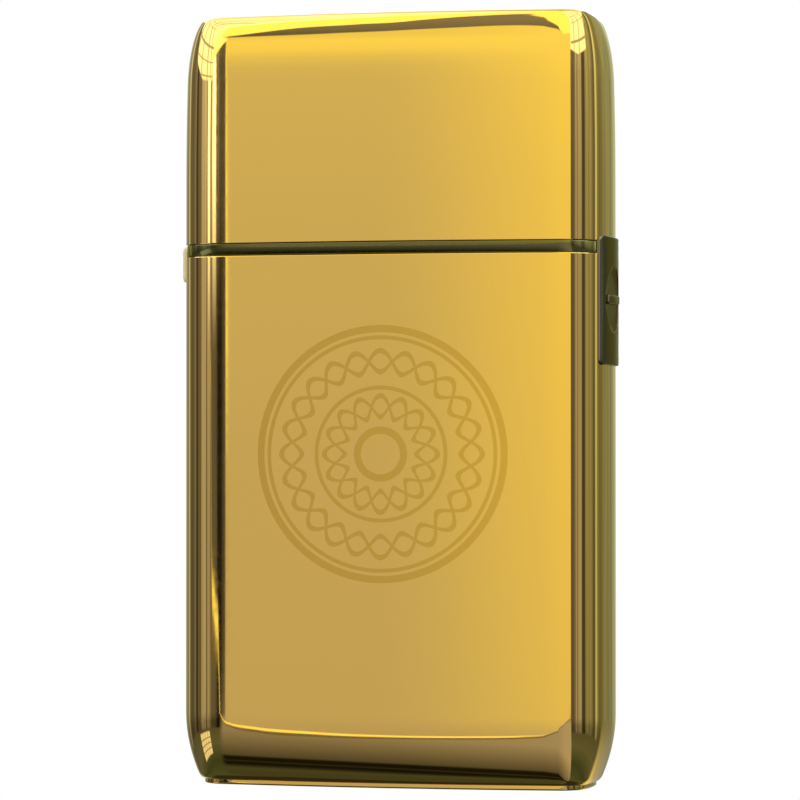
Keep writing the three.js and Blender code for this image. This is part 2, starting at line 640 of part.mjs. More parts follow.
// a nickel strip over one end of the cell, with a leg that runs towards the middle
function batteryTab(z) {
  const end = BATTERY.x + BATTERY.radius + 0.4;
  const strip = block(BATTERY.x - 2, end, -1.5, 1.5, z, z + 0.3);
  const leg = block(end - 0.3, end, -1.5, 1.5, z, z + 3);
  return union(strip, leg);
}

function circuitBoard() {
  const low = BOARD.y;
  return cut(
    block(BOARD.left, BOARD.right, low, low + BOARD.thickness, BOARD.bottom, BOARD.top),
    block(BOARD.right - 3, BOARD.right + 1, low - 1, low + 3, BOARD.bottom - 1, BOARD.bottom + 6));
}

function boardController() {
  const { left, right, bottom, top, thickness } = CHIP;
  const face = BOARD.y - FIT;
  return block(left, right, face - thickness, face, bottom, top);
}

function boardCapacitor() {
  const { x, radius, bottom, top } = CAPACITOR;
  return upright(radius, bottom, top, x, BOARD.y - radius - 0.2, 16);
}

function slideSwitchBody() {
  const { left, right, front, bottom, top } = SWITCH_BODY;
  const reach = STEM.height / 2 + 0.2;
  const half = ACTUATOR.half + 0.6;
  const box = block(left, right, front, BOARD.y - FIT, bottom, top);
  return cut(box, block(ACTUATOR.inner - SLIDE_GAP, right + 1, -half, half,
    STEM.middle - TAB_TRAVEL - reach, STEM.middle + reach));
}

function slideSwitchActuator() {
  const { inner, half } = ACTUATOR;
  return block(inner, STEM.inner - 0.1, -half, half, STEM.middle - half, STEM.middle + half);
}

function chargeSocket() {
  const barrel = upright(SOCKET.barrel, SOCKET.bottom, SOCKET.body + 0.2, SOCKET.x, 0);
  const body = block(SOCKET.x - 4.4, SOCKET.x + 4.4, -4.2, 4.2, SOCKET.body, SOCKET.top);
  const bore = upright(SOCKET.bore, 0, SOCKET.top - 2, SOCKET.x, 0);
  const pin = upright(SOCKET.pin, SOCKET.bottom + 1.4, SOCKET.top - 1, SOCKET.x, 0, 12);
  return union(cut(union(barrel, body), bore), pin);
}

function motorLead(side) {
  const x = side * 5;
  const start = MOTOR.bottom - 3.9;
  const y = side > 0 ? -1.6 : -3.4;
  return sweep([
    [x, y, start + 1.4], [x, y - 0.6, start - 2], [x + 0.3, y - 1, start - 6.2],
    [8.6, y - 1, 18.4], [9.6, y - 1, 16]], LEAD_RADIUS, 12, 6);
}

// ---------------------------------------------------------------- assembly

const shaver = new THREE.Group();

function place(name, solid, finish) {
  const mesh = new THREE.Mesh(toGeometry(solid), finish);
  mesh.name = name;
  shaver.add(mesh);
}

place("body_shell", bodyShell(), GOLD);
place("base_plate", basePlate(), GOLD);
place("parting_band", partingBand(), DARK_TRIM);
place("protective_cap", protectiveCap(), GOLD);
place("switch_slider", switchSlider(), DARK_TRIM);
place("release_button", releaseButton(), PALE_GOLD);
place("release_spring", releaseSpring(), STEEL);

place("head_tray", headTray(), BLACK_PLASTIC);
place("shaft_seal", shaftSeal(), RUBBER);
place("bridge_guide", bridgeGuide(), BLACK_PLASTIC);
place("drive_bridge", driveBridge(), BLACK_PLASTIC);
place("eccentric_cam", eccentricCam(), BLACK_PLASTIC);
place("foil_housing", foilHousing(), BLACK_PLASTIC);

for (const [where, y] of [["front", -FOIL.y], ["rear", FOIL.y]]) {
  place(`foil_${where}`, foil(y), FOIL_METAL);
  place(`foil_carrier_${where}`, foilCarrier(y), BLACK_PLASTIC);
  place(`cutter_${where}`, cutter(y), STEEL);
  place(`cutter_spring_${where}`, cutterSpring(y), STEEL);
}

place("inner_frame", innerFrame(), BLACK_PLASTIC);
place("motor_can", motorCan(), STEEL);
place("motor_endcap", motorEndcap(), BLACK_PLASTIC);
place("motor_rotor", motorRotor(), COPPER);
place("battery_cell", batteryCell(), CELL_WRAP);
place("battery_tab_positive", batteryTab(BATTERY.top + FIT), STEEL);
place("battery_tab_negative", batteryTab(BATTERY.bottom - 0.35), STEEL);
place("circuit_board", circuitBoard(), BOARD_GREEN);
place("board_controller", boardController(), BLACK_PLASTIC);
place("board_capacitor", boardCapacitor(), CELL_WRAP);
place("slide_switch_body", slideSwitchBody(), STEEL);
place("slide_switch_actuator", slideSwitchActuator(), BLACK_PLASTIC);
place("charge_socket", chargeSocket(), BLACK_PLASTIC);

for (const [where, side] of [["left", -1], ["right", 1]]) {
  const index = side > 0 ? 1 : 0;
  place(`motor_magnet_${where}`, motorMagnet(side), STEEL);
  place(`base_screw_${where}`,
    invertedScrew(...baseScrewPlaces[index], SHELL_BOTTOM + FIT, 5), STEEL);
  place(`frame_screw_${where}`,
    screw(...frameScrewPlaces[index], TRAY.floor + SCREW.headHeight + REST_GAP, 6), STEEL);
  place(`guide_screw_${where}`,
    screw(...guideScrewPlaces[index], TRAY.floor + 1.64 + SCREW.headHeight, 4.2), STEEL);
  place(`motor_screw_${where}`,
    screw(...motorScrewPlaces[index], MOTOR_SCREW_TOP, 5), STEEL);
}
place("motor_lead_red", motorLead(1), RED_WIRE);
place("motor_lead_black", motorLead(-1), BLACK_PLASTIC);

export default shaver;
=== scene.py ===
"""Looks of the cordless foil shaver: fine meshes, materials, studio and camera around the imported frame.

All lengths are metres. The front of the shaver faces -Y, and the slide switch is on its +X side.
"""

import json
import math

import bmesh
import bpy
from mathutils import Matrix, Vector

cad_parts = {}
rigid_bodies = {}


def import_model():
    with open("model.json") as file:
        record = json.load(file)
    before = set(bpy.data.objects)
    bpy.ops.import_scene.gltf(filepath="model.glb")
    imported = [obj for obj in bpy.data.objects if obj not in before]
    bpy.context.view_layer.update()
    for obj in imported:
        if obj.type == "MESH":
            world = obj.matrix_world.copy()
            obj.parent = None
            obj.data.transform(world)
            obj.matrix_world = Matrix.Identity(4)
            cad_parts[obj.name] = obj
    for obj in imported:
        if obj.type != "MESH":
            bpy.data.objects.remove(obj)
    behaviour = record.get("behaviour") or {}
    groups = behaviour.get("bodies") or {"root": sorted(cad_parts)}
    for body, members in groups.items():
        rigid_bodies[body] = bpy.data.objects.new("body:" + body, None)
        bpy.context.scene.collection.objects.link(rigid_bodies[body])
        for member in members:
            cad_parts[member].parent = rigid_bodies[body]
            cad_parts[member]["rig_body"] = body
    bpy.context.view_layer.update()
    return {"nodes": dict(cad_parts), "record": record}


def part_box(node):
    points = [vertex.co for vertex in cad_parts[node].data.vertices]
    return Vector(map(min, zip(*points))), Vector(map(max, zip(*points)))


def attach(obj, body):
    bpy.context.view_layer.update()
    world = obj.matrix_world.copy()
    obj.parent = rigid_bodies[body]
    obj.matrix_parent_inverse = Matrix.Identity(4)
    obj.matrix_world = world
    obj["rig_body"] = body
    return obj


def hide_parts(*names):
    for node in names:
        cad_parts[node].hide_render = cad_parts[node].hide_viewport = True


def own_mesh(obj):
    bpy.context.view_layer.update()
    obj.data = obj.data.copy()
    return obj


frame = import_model()
MM = 0.001

# ---------------------------------------------------------------- plan section, as the frame has it

shell_low, shell_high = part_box("body_shell")
cap_low, cap_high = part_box("protective_cap")
band_low, band_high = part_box("parting_band")
plate_low, plate_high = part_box("base_plate")
switch_low, switch_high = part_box("switch_slider")
button_low, button_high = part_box("release_button")
socket_low, socket_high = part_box("charge_socket")

WIDTH = shell_high.x - shell_low.x
DEPTH = shell_high.y - shell_low.y
HEIGHT = cap_high.z
CROWN_RADIUS = 180 * MM
SIDE_RADIUS = 36 * MM
CORNER_RADIUS = 6 * MM
SIDE_CENTRE = WIDTH / 2 - SIDE_RADIUS
CROWN_CENTRE = DEPTH / 2 - CROWN_RADIUS

# how the lower and upper edges draw in: an inset, and the height over which it grows
FOOT_LEAN = (2.05 * MM, 9 * MM)
FOOT_EDGE = (0.35 * MM, 0.8 * MM)
ROOF_LEAN = (0.5 * MM, 22 * MM)
ROOF_EDGE = (2.4 * MM, 9 * MM)
SHELL_WALL = 1.5 * MM
SHELL_FLOOR = 2.6 * MM - shell_low.z
CAP_WALL = 1.3 * MM
BAND_WALL = 1.45 * MM

# openings in the walls
BUTTON_HALF = (button_high.y - button_low.y) / 2
BUTTON_GAP = 0.3 * MM
SOCKET_X = (socket_low.x + socket_high.x) / 2


def corner_centre():
    """Centre of the corner arc in the +X +Y quarter, inside both the side and the crown arc."""
    to_side = SIDE_RADIUS - CORNER_RADIUS
    to_crown = CROWN_RADIUS - CORNER_RADIUS
    apart = math.hypot(SIDE_CENTRE, CROWN_CENTRE)
    along = (to_side**2 - to_crown**2 + apart**2) / (2 * apart)
    aside = math.sqrt(to_side**2 - along**2)
    ux, uy = -SIDE_CENTRE / apart, CROWN_CENTRE / apart
    return SIDE_CENTRE + along * ux - aside * uy, along * uy + aside * ux


CORNER_X, CORNER_Y = corner_centre()
SIDE_ANGLE = math.atan2(CORNER_Y, CORNER_X - SIDE_CENTRE)
CROWN_ANGLE = math.atan2(CORNER_Y - CROWN_CENTRE, CORNER_X)


def quarter(inset, fine):
    """Points of the outline from the +X side to the +Y side, both ends included."""
    arcs = (
        (SIDE_CENTRE, 0, SIDE_RADIUS, 0, SIDE_ANGLE, 4 * fine),
        (CORNER_X, CORNER_Y, CORNER_RADIUS, SIDE_ANGLE, CROWN_ANGLE, 12 * fine),
        (0, CROWN_CENTRE, CROWN_RADIUS, CROWN_ANGLE, math.pi / 2, 12 * fine),
    )
    points = []
    for cx, cy, radius, start, end, steps in arcs:
        for i in range(steps):
            angle = start + (end - start) * i / steps
            points.append((cx + (radius - inset) * math.cos(angle), cy + (radius - inset) * math.sin(angle)))
    return [*points, (0, DEPTH / 2 - inset)]


def outline(inset, fine=1):
    """The whole outline drawn in by an inset, counterclockwise from the +X side."""
    first = quarter(inset, fine)
    second = [(-x, y) for x, y in reversed(first[:-1])]
    upper = first + second
    lower = [(x, -y) for x, y in reversed(upper[1:-1])]
    return upper + lower


def edge_inset(distance, edge):
    inset, height = edge
    along = min(1.0, max(0.0, 1 - distance / height))
    return inset * (1 - math.sqrt(1 - along**2))


def lean_inset(distance, lean):
    inset, height = lean
    return inset * max(0.0, 1 - distance / height) ** 2


def foot_inset(z):
    return lean_inset(z - shell_low.z, FOOT_LEAN) + edge_inset(z - shell_low.z, FOOT_EDGE)


def roof_inset(z):
    return lean_inset(HEIGHT - z, ROOF_LEAN) + edge_inset(HEIGHT - z, ROOF_EDGE)


def edge_heights(height, count):
    """Distances from an end face over its rounded edge, closest together at the end face."""
    return [height * (1 - math.cos(math.pi * i / (2 * count))) for i in range(count + 1)]


# ---------------------------------------------------------------- mesh helpers


def new_object(name, mesh_data, finish, body, replaced=()):
    piece = bpy.data.objects.new(name, mesh_data)
    bpy.context.scene.collection.objects.link(piece)
    piece.data.materials.append(finish)
    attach(piece, body)
    if replaced:
        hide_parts(*replaced)
    return piece


def mesh_from(name, verts, faces, sharp=35):
    mesh = bpy.data.meshes.new(name)
    mesh.from_pydata(verts, [], faces)
    smooth_by_angle(mesh, sharp)
    return mesh


def smooth_by_angle(mesh, sharp=35):
    """Smooth shading everywhere but over edges that turn more than the angle in degrees."""
    bm = bmesh.new()
    bm.from_mesh(mesh)
    bmesh.ops.recalc_face_normals(bm, faces=bm.faces)
    for face in bm.faces:
        face.smooth = True
    for edge in bm.edges:
        if len(edge.link_faces) == 2:
            edge.smooth = edge.calc_face_angle() < math.radians(sharp)
    bm.to_mesh(mesh)
    bm.free()


def ring_faces(rings, count, closed=False):
    faces = []
    last = rings if closed else rings - 1
    for r in range(last):
        for i in range(count):
            a, b = r * count + i, r * count + (i + 1) % count
            up = ((r + 1) % rings) * count
            faces.append((a, b, up + (i + 1) % count, up + i))
    return faces


def disc_rings(inset, z, steps=4):
    """Rings that shrink towards the middle of a flat end, largest first, the last one nearly closed."""
    rim = outline(inset)
    return [[(x * s, y * s, z) for x, y in rim] for s in (1 - i / steps for i in range(1, steps))]


def fan(centre, first, count, inward=False):
    """Triangles from a ring that starts at one vertex to a centre vertex."""
    pairs = [(first + i, first + (i + 1) % count) for i in range(count)]
    return [(centre, b, a) if inward else (centre, a, b) for a, b in pairs]


def closed_mesh(name, rings, first, last, sharp):
    """A solid through rings, closed round a first and a last point."""
    count = len(rings[0])
    verts = [*(point for ring in rings for point in ring), first, last]
    faces = ring_faces(len(rings), count) + fan(len(verts) - 2, 0, count, inward=True)
    faces += fan(len(verts) - 1, (len(rings) - 1) * count, count)
    return mesh_from(name, verts, faces, sharp)


def loft(name, profile, bottom="open", top="open", sharp=35):
    """A solid through (inset, z) rings. Each end is left open, joined to the other, or closed flat."""
    rings = [[(x, y, z) for x, y in outline(inset)] for inset, z in profile]
    if bottom == "flat":
        rings = list(reversed(disc_rings(*profile[0]))) + rings
    if top == "flat":
        rings = rings + disc_rings(*profile[-1])
    count = len(rings[0])
    verts = [point for ring in rings for point in ring]
    faces = ring_faces(len(rings), count, closed=bottom == "joined")
    if bottom == "flat":
        verts.append((0, 0, profile[0][1]))
        faces += fan(len(verts) - 1, 0, count, inward=True)
    if top == "flat":
        verts.append((0, 0, profile[-1][1]))
        faces += fan(len(verts) - 1, (len(rings) - 1) * count, count)
    return mesh_from(name, verts, faces, sharp)


def mesh_of(bm, name="tool"):
    """A mesh from a bmesh, which is freed."""
    mesh = bpy.data.meshes.new(name)
    bm.to_mesh(mesh)
    bm.free()
    return mesh


def block(low, high):
    """A cube stretched between two corners, as a bmesh."""
    bm = bmesh.new()
    bmesh.ops.create_cube(bm, size=1)
    for v in bm.verts:
        v.co = Vector([(lo + hi) / 2 + c * (hi - lo) for c, lo, hi in zip(v.co, low, high)])
    return bm


def rounded_bar(low, high, edge, segments=5):
    """A block with all its edges rounded."""
    bm = block(low, high)
    bmesh.ops.bevel(bm, geom=bm.edges[:], offset=edge, segments=segments, profile=0.5, affect="EDGES")
    return mesh_of(bm)


def rod_mesh(radius, start, end, segments=64):
    """A round bar between two points."""
    bm = bmesh.new()
    start, end = Vector(start), Vector(end)
    bmesh.ops.create_cone(bm, cap_ends=True, segments=segments, radius1=radius, radius2=radius,
                          depth=(end - start).length)
    turn = (end - start).to_track_quat("Z", "Y").to_matrix().to_4x4()
    bmesh.ops.transform(bm, matrix=Matrix.Translation((start + end) / 2) @ turn, verts=bm.verts)
    return mesh_of(bm)


def merged(name, meshes, sharp=35):
    """One mesh that holds several closed shells."""
    bm = bmesh.new()
    for part in meshes:
        bm.from_mesh(part)
    mesh = mesh_of(bm, name)
    smooth_by_angle(mesh, sharp)
    return mesh


def cut(piece, *tools):
    """Cuts tool meshes out of a piece, and leaves no modifier behind."""
    for tool_mesh in tools:
        tool = bpy.data.objects.new("tool", tool_mesh)
        bpy.context.scene.collection.objects.link(tool)
        modifier = piece.modifiers.new("cut", "BOOLEAN")
        modifier.operation = "DIFFERENCE"
        modifier.solver = "EXACT"
        modifier.object = tool
        apply_modifiers(piece)
        bpy.data.objects.remove(tool)


def apply_modifiers(piece):
    bpy.context.view_layer.update()
    graph = bpy.context.evaluated_depsgraph_get()
    made = bpy.data.meshes.new_from_object(piece.evaluated_get(graph))
    piece.modifiers.clear()
    piece.data = made


def finish_edges(piece, sharp=35):
    smooth_by_angle(piece.data, sharp)
    return piece


# ---------------------------------------------------------------- node helpers


class Nodes:
    """A short way to write node trees."""

    def __init__(self, tree):
        self.tree = tree
        tree.nodes.clear()

    def add(self, kind, **settings):
        node = self.tree.nodes.new(kind)
        for key, value in settings.items():
            setattr(node, key, value)
        return node

    def link(self, source, target):
        self.tree.links.new(source, target)

    def feed(self, socket, value):
        if isinstance(value, bpy.types.NodeSocket):
            self.link(value, socket)
        else:
            socket.default_value = value

    def math(self, operation, a, b=0.0, c=0.0, clamp=False):
        node = self.add("ShaderNodeMath", operation=operation, use_clamp=clamp)
        for socket, value in zip(node.inputs, (a, b, c)):
            self.feed(socket, value)
        return node.outputs[0]

    def times(self, a, b):
        return self.math("MULTIPLY", a, b)

    def without(self, mask):
        """1 where the mask is 0, and the other way round."""
        return self.math("SUBTRACT", 1.0, mask)

    def highest(self, values):
        top, *others = values
        for value in others:
            top = self.math("MAXIMUM", top, value)
        return top

    def split(self, vector):
        node = self.add("ShaderNodeSeparateXYZ")
        self.link(vector, node.inputs[0])
        return node.outputs

    def spread(self, value, low, high, to_low=0.0, to_high=1.0, smooth=False):
        node = self.add("ShaderNodeMapRange", interpolation_type="SMOOTHSTEP" if smooth else "LINEAR")
        for socket, number in zip(node.inputs, (value, low, high, to_low, to_high)):
            self.feed(socket, number)
        return node.outputs[0]

    def mix(self, factor, a, b, blend="MIX"):
        node = self.add("ShaderNodeMix", data_type="RGBA", blend_type=blend)
        self.feed(node.inputs[0], factor)
        self.feed(node.inputs[6], a)
        self.feed(node.inputs[7], b)
        return node.outputs[2]

    def ramp(self, value, stops, interpolation="LINEAR"):
        node = self.add("ShaderNodeValToRGB")
        node.color_ramp.interpolation = interpolation
        elements = node.color_ramp.elements
        while len(elements) < len(stops):
            elements.new(0.5)
        for element, (position, colour) in zip(elements, stops):
            element.position = position
            element.color = (*colour, 1)
        self.feed(node.inputs[0], value)
        return node.outputs[0]

    def noise(self, vector, scale, detail=2.0, roughness=0.5):
        node = self.add("ShaderNodeTexNoise")
        self.feed(node.inputs["Scale"], scale)
        self.feed(node.inputs["Detail"], detail)
        self.feed(node.inputs["Roughness"], roughness)
        self.link(vector, node.inputs["Vector"])
        return node.outputs[0]


def principled(name, colour, roughness, metallic=0.0, **sockets):
    """A material and its shader, with its node writer."""
    material = bpy.data.materials.new(name)
    material.use_nodes = True
    write = Nodes(material.node_tree)
    shader = write.add("ShaderNodeBsdfPrincipled")
    output = write.add("ShaderNodeOutputMaterial")
    write.link(shader.outputs[0], output.inputs[0])
    shader.inputs["Base Color"].default_value = (*colour, 1)
    shader.inputs["Roughness"].default_value = roughness
    shader.inputs["Metallic"].default_value = metallic
    for key, value in sockets.items():
        shader.inputs[key.replace("_", " ")].default_value = value
    return material, shader, write


def place_in_object(write):
    return write.add("ShaderNodeTexCoord").outputs["Object"]


def shade(colour, share=1.0):
    return (*(c * share for c in colour), 1)


def roughen(write, shader, pattern, low, high, start=0.3, end=0.7):
    """Roughness between two limits, after a pattern's value between start and end."""
    write.link(write.spread(pattern, start, end, low, high), shader.inputs["Roughness"])


def add_bump(write, shader, height, strength, distance):
    bump = write.add("ShaderNodeBump")
    bump.inputs["Strength"].default_value = strength
    bump.inputs["Distance"].default_value = distance
    write.link(height, bump.inputs["Height"])
    write.link(bump.outputs[0], shader.inputs["Normal"])


# ---------------------------------------------------------------- materials

GOLD = (0.93, 0.62, 0.105)
ORNAMENT_HEIGHT = 0.43 * HEIGHT
ORNAMENT_RADIUS = 16.6 * MM
LINE_BLUR = 0.12
# each line's size, wave height, number of waves and half width in mm
ORNAMENT_LINES = (
    (1.00, 0.0, 0.0, 0.42),
    (0.93, 0.0, 0.0, 0.2),
    (0.74, 0.085, 12.0, 0.3),
    (0.74, -0.085, 12.0, 0.3),
    (0.53, 0.0, 0.0, 0.2),
    (0.38, 0.085, 8.0, 0.3),
    (0.38, -0.085, 8.0, 0.3),
    (0.19, 0.0, 0.0, 0.42),
)


def rosette(write, place):
    """1 on the engraved lines of a round rosette on the front face, 0 elsewhere."""
    across, depth, height = write.split(place)
    up = write.math("SUBTRACT", height, ORNAMENT_HEIGHT)
    radius = write.math("POWER", write.math("ADD", write.times(across, across), write.times(up, up)), 0.5)
    angle = write.math("ARCTAN2", up, across)
    lines = []
    for size, wave, waves, width in ORNAMENT_LINES:
        ripple = write.times(write.math("COSINE", write.times(angle, waves)), wave * ORNAMENT_RADIUS)
        offset = write.math("SUBTRACT", radius, write.math("ADD", ripple, size * ORNAMENT_RADIUS))
        distance = write.math("ABSOLUTE", offset)
        lines.append(write.spread(distance, width * MM, (width + LINE_BLUR) * MM, 1.0, 0.0, True))
    return write.times(write.highest(lines), write.math("LESS_THAN", depth, 0.0))


def gold_material(name, engraved=False):
    """Mirror plating with a faint unevenness, and for the body an engraved rosette."""
    material, shader, write = principled(name, GOLD, 0.04, 1.0)
    place = place_in_object(write)
    rough = write.spread(write.noise(place, 900.0, 3.0), 0.35, 0.75, 0.028, 0.05)
    if engraved:
        lines = rosette(write, place)
        write.link(write.mix(lines, shade(GOLD), (0.76, 0.48, 0.06, 1)), shader.inputs["Base Color"])
        rough = write.math("ADD", rough, write.times(lines, 0.13))
    write.link(rough, shader.inputs["Roughness"])
    return material


def dark_trim_material(name, colour, roughness, lean=0.0):
    """Polished dark bronze plating. A lean turns its front a little down, and a painted highlight makes its
    ends paler.
    """
    material, shader, write = principled(name, colour, roughness, 1.0)
    shader.inputs["Specular Tint"].default_value = (0.6, 0.55, 0.36, 1)
    place = place_in_object(write)
    tone = write.mix(write.noise(place, 240.0), shade(colour, 0.94), shade(colour, 1.06))
    wear = write.noise(place, 1400.0, 4.0, 0.6)
    roughen(write, shader, wear, roughness * 0.8, roughness * 1.3, 0.35)
    if lean:
        facing = write.add("ShaderNodeNewGeometry").outputs["Normal"]
        frontal = write.math("POWER", write.math("ABSOLUTE", write.split(facing)[1]), 4.0)
        # painted highlight: away from the front the colour is 2.3 times paler, standing in for bright
        # reflections at the ends
        tone = write.mix(frontal, shade(colour, 2.3), tone)
        write.link(leaning_normal(write, facing, frontal, lean), shader.inputs["Normal"])
    write.link(tone, shader.inputs["Base Color"])
    return material


def leaning_normal(write, facing, share, lean):
    """The surface normal turned down by some degrees, in a given share."""
    drop = write.add("ShaderNodeCombineXYZ")
    write.link(write.times(share, -math.tan(math.radians(lean))), drop.inputs[2])
    turned = write.add("ShaderNodeVectorMath", operation="ADD")
    write.link(facing, turned.inputs[0])
    write.link(drop.outputs[0], turned.inputs[1])
    unit = write.add("ShaderNodeVectorMath", operation="NORMALIZE")
    write.link(turned.outputs[0], unit.inputs[0])
    return unit.outputs[0]


def plastic_material(name, colour, roughness=0.5, grain_scale=4000.0, strength=0.2, **sockets):
    """Moulded plastic with a spark-eroded grain."""
    material, shader, write = principled(name, colour, roughness, **sockets)
    shader.inputs["Specular Tint"].default_value = (1.0, 0.9, 0.42, 1)
    place = place_in_object(write)
    grain = write.noise(place, grain_scale, 3.0, 0.6)
    tone = write.mix(write.noise(place, 180.0), shade(colour, 0.85), shade(colour, 1.15))
    write.link(tone, shader.inputs["Base Color"])
    roughen(write, shader, grain, roughness - 0.07, roughness + 0.08)
    add_bump(write, shader, grain, strength, 0.02 * MM)
    return material


def metal_material(name, colour, roughness, brush=(1.0, 1.0, 1.0), grain_scale=3000.0, strength=0.1):
    """Metal with a grain stretched along its brushing."""
    material, shader, write = principled(name, colour, roughness, 1.0)
    stretch = write.add("ShaderNodeMapping")
    stretch.inputs["Scale"].default_value = brush
    write.link(place_in_object(write), stretch.inputs["Vector"])
    grain = write.noise(stretch.outputs[0], grain_scale, 4.0, 0.65)
    write.link(write.mix(grain, shade(colour, 0.86), shade(colour)), shader.inputs["Base Color"])
    roughen(write, shader, grain, roughness * 0.8, roughness * 1.25)
    add_bump(write, shader, grain, strength, 0.01 * MM)
    return material


def winding_material():
    """Enamelled copper wire wound in close turns, with painted shade in the grooves between them."""
    material, shader, write = principled("copper_winding", (0.72, 0.34, 0.14), 0.3, 1.0)
    place = place_in_object(write)
    wire = 0.35 * MM
    turns = write.math("SINE", write.times(write.split(place)[2], 2 * math.pi / wire))
    # painted shade: the colour darkens where the wave is low, in the grooves between turns
    tone = write.mix(write.spread(turns, -1.0, 1.0), (0.42, 0.17, 0.06, 1), (0.78, 0.38, 0.16, 1))
    write.link(tone, shader.inputs["Base Color"])
    roughen(write, shader, write.noise(place, 1500.0), 0.22, 0.4)
    add_bump(write, shader, turns, 0.5, 0.05 * MM)
    return material


def cell_wrap_material():
    """Shrink sleeve with two plain pale rings and faint wrinkles."""
    material, shader, write = principled("cell_wrap", (0.05, 0.13, 0.36), 0.28, Coat_Weight=0.4)
    place = place_in_object(write)
    height = write.split(place)[2]
    rings = []
    for ring_height in (12.0 * MM, 48.0 * MM):
        offset = write.math("ABSOLUTE", write.math("SUBTRACT", height, ring_height))
        rings.append(write.spread(offset, 1.2 * MM, 1.25 * MM, 1.0, 0.0))
    sleeve = write.mix(write.noise(place, 160.0), (0.04, 0.11, 0.32, 1), (0.06, 0.15, 0.4, 1))
    write.link(write.mix(write.highest(rings), sleeve, (0.6, 0.62, 0.64, 1)), shader.inputs["Base Color"])
    wrinkle = write.noise(place, 420.0, 4.0)
    roughen(write, shader, wrinkle, 0.2, 0.36)
    add_bump(write, shader, wrinkle, 0.2, 0.05 * MM)
    return material


def board_material():
    """Green solder mask over raised copper tracks, with a fine weave under it."""
    material, shader, write = principled("board_green", (0.015, 0.14, 0.05), 0.3, Coat_Weight=0.3)
    place = place_in_object(write)
    cells = write.add("ShaderNodeTexVoronoi", feature="DISTANCE_TO_EDGE", distance="MANHATTAN")
    cells.inputs["Scale"].default_value = 420.0
    write.link(place, cells.inputs["Vector"])
    tracks = write.spread(cells.outputs["Distance"], 0.06, 0.09, 1.0, 0.0)
    mask = write.mix(write.noise(place, 2600.0), (0.012, 0.12, 0.045, 1), (0.018, 0.16, 0.06, 1))
    write.link(write.mix(tracks, mask, (0.03, 0.26, 0.09, 1)), shader.inputs["Base Color"])
    roughen(write, shader, write.noise(place, 900.0), 0.24, 0.38)
    add_bump(write, shader, tracks, 0.4, 0.03 * MM)
    return material


GOLD_BODY = gold_material("gold_body", engraved=True)
GOLD_PLAIN = gold_material("gold_plain")
DARK_TRIM = dark_trim_material("dark_trim", (0.2, 0.175, 0.085), 0.18)
# the band's finish, with a painted highlight on its ends
DARK_BAND = dark_trim_material("dark_trim_band", (0.21, 0.19, 0.04), 0.16, 15.5)
PALE_GOLD = plastic_material("pale_gold", (0.95, 0.78, 0.42), 0.35, 900.0, 0.05, Coat_Weight=0.2)
FINISHES = {
    "gold_plate": GOLD_PLAIN,
    "dark_trim": DARK_TRIM,
    "pale_gold": PALE_GOLD,
    "black_plastic": plastic_material("black_plastic", (0.022, 0.022, 0.024), 0.45),
    "foil_metal": metal_material("foil_metal", (0.86, 0.66, 0.30), 0.2, (0.15, 1.0, 1.0)),
    "cutter_steel": metal_material("cutter_steel", (0.66, 0.67, 0.69), 0.26, (1.0, 0.2, 0.2)),
    "spring_steel": metal_material("spring_steel", (0.6, 0.6, 0.62), 0.24),
    "motor_steel": metal_material("motor_steel", (0.55, 0.55, 0.56), 0.34, (1.0, 1.0, 0.2), 900.0),
    "magnet": plastic_material("magnet", (0.12, 0.12, 0.13), 0.55, 2200.0, 0.5),
    "copper": winding_material(),
    "nickel": metal_material("nickel", (0.7, 0.67, 0.6), 0.22, (0.2, 1.0, 1.0)),
    "screw_steel": metal_material("screw_steel", (0.56, 0.56, 0.58), 0.28, (1.0, 1.0, 0.3), 2500.0),
    "cell_wrap": cell_wrap_material(),
    "board_green": board_material(),
    "chip": plastic_material("chip", (0.03, 0.03, 0.032), 0.55, 6000.0),
    "capacitor_sleeve": plastic_material("capacitor_sleeve", (0.03, 0.035, 0.14), 0.25, 500.0, 0.1),
    "seal_rubber": plastic_material("seal_rubber", (0.03, 0.03, 0.03), 0.7, 3000.0, 0.3),
    "red_wire": plastic_material("red_wire", (0.45, 0.02, 0.02), 0.35, 1500.0, 0.1),
    "black_wire": plastic_material("black_wire", (0.02, 0.02, 0.02), 0.35, 1500.0, 0.1),
}
SLOT_OF = {entry["node"]: entry["material_slot"] for entry in frame["record"]["subparts"]}

# ---------------------------------------------------------------- body, band, cap and plate


def straight(low, high, count):
    return [low + (high - low) * i / count for i in range(1, count)]


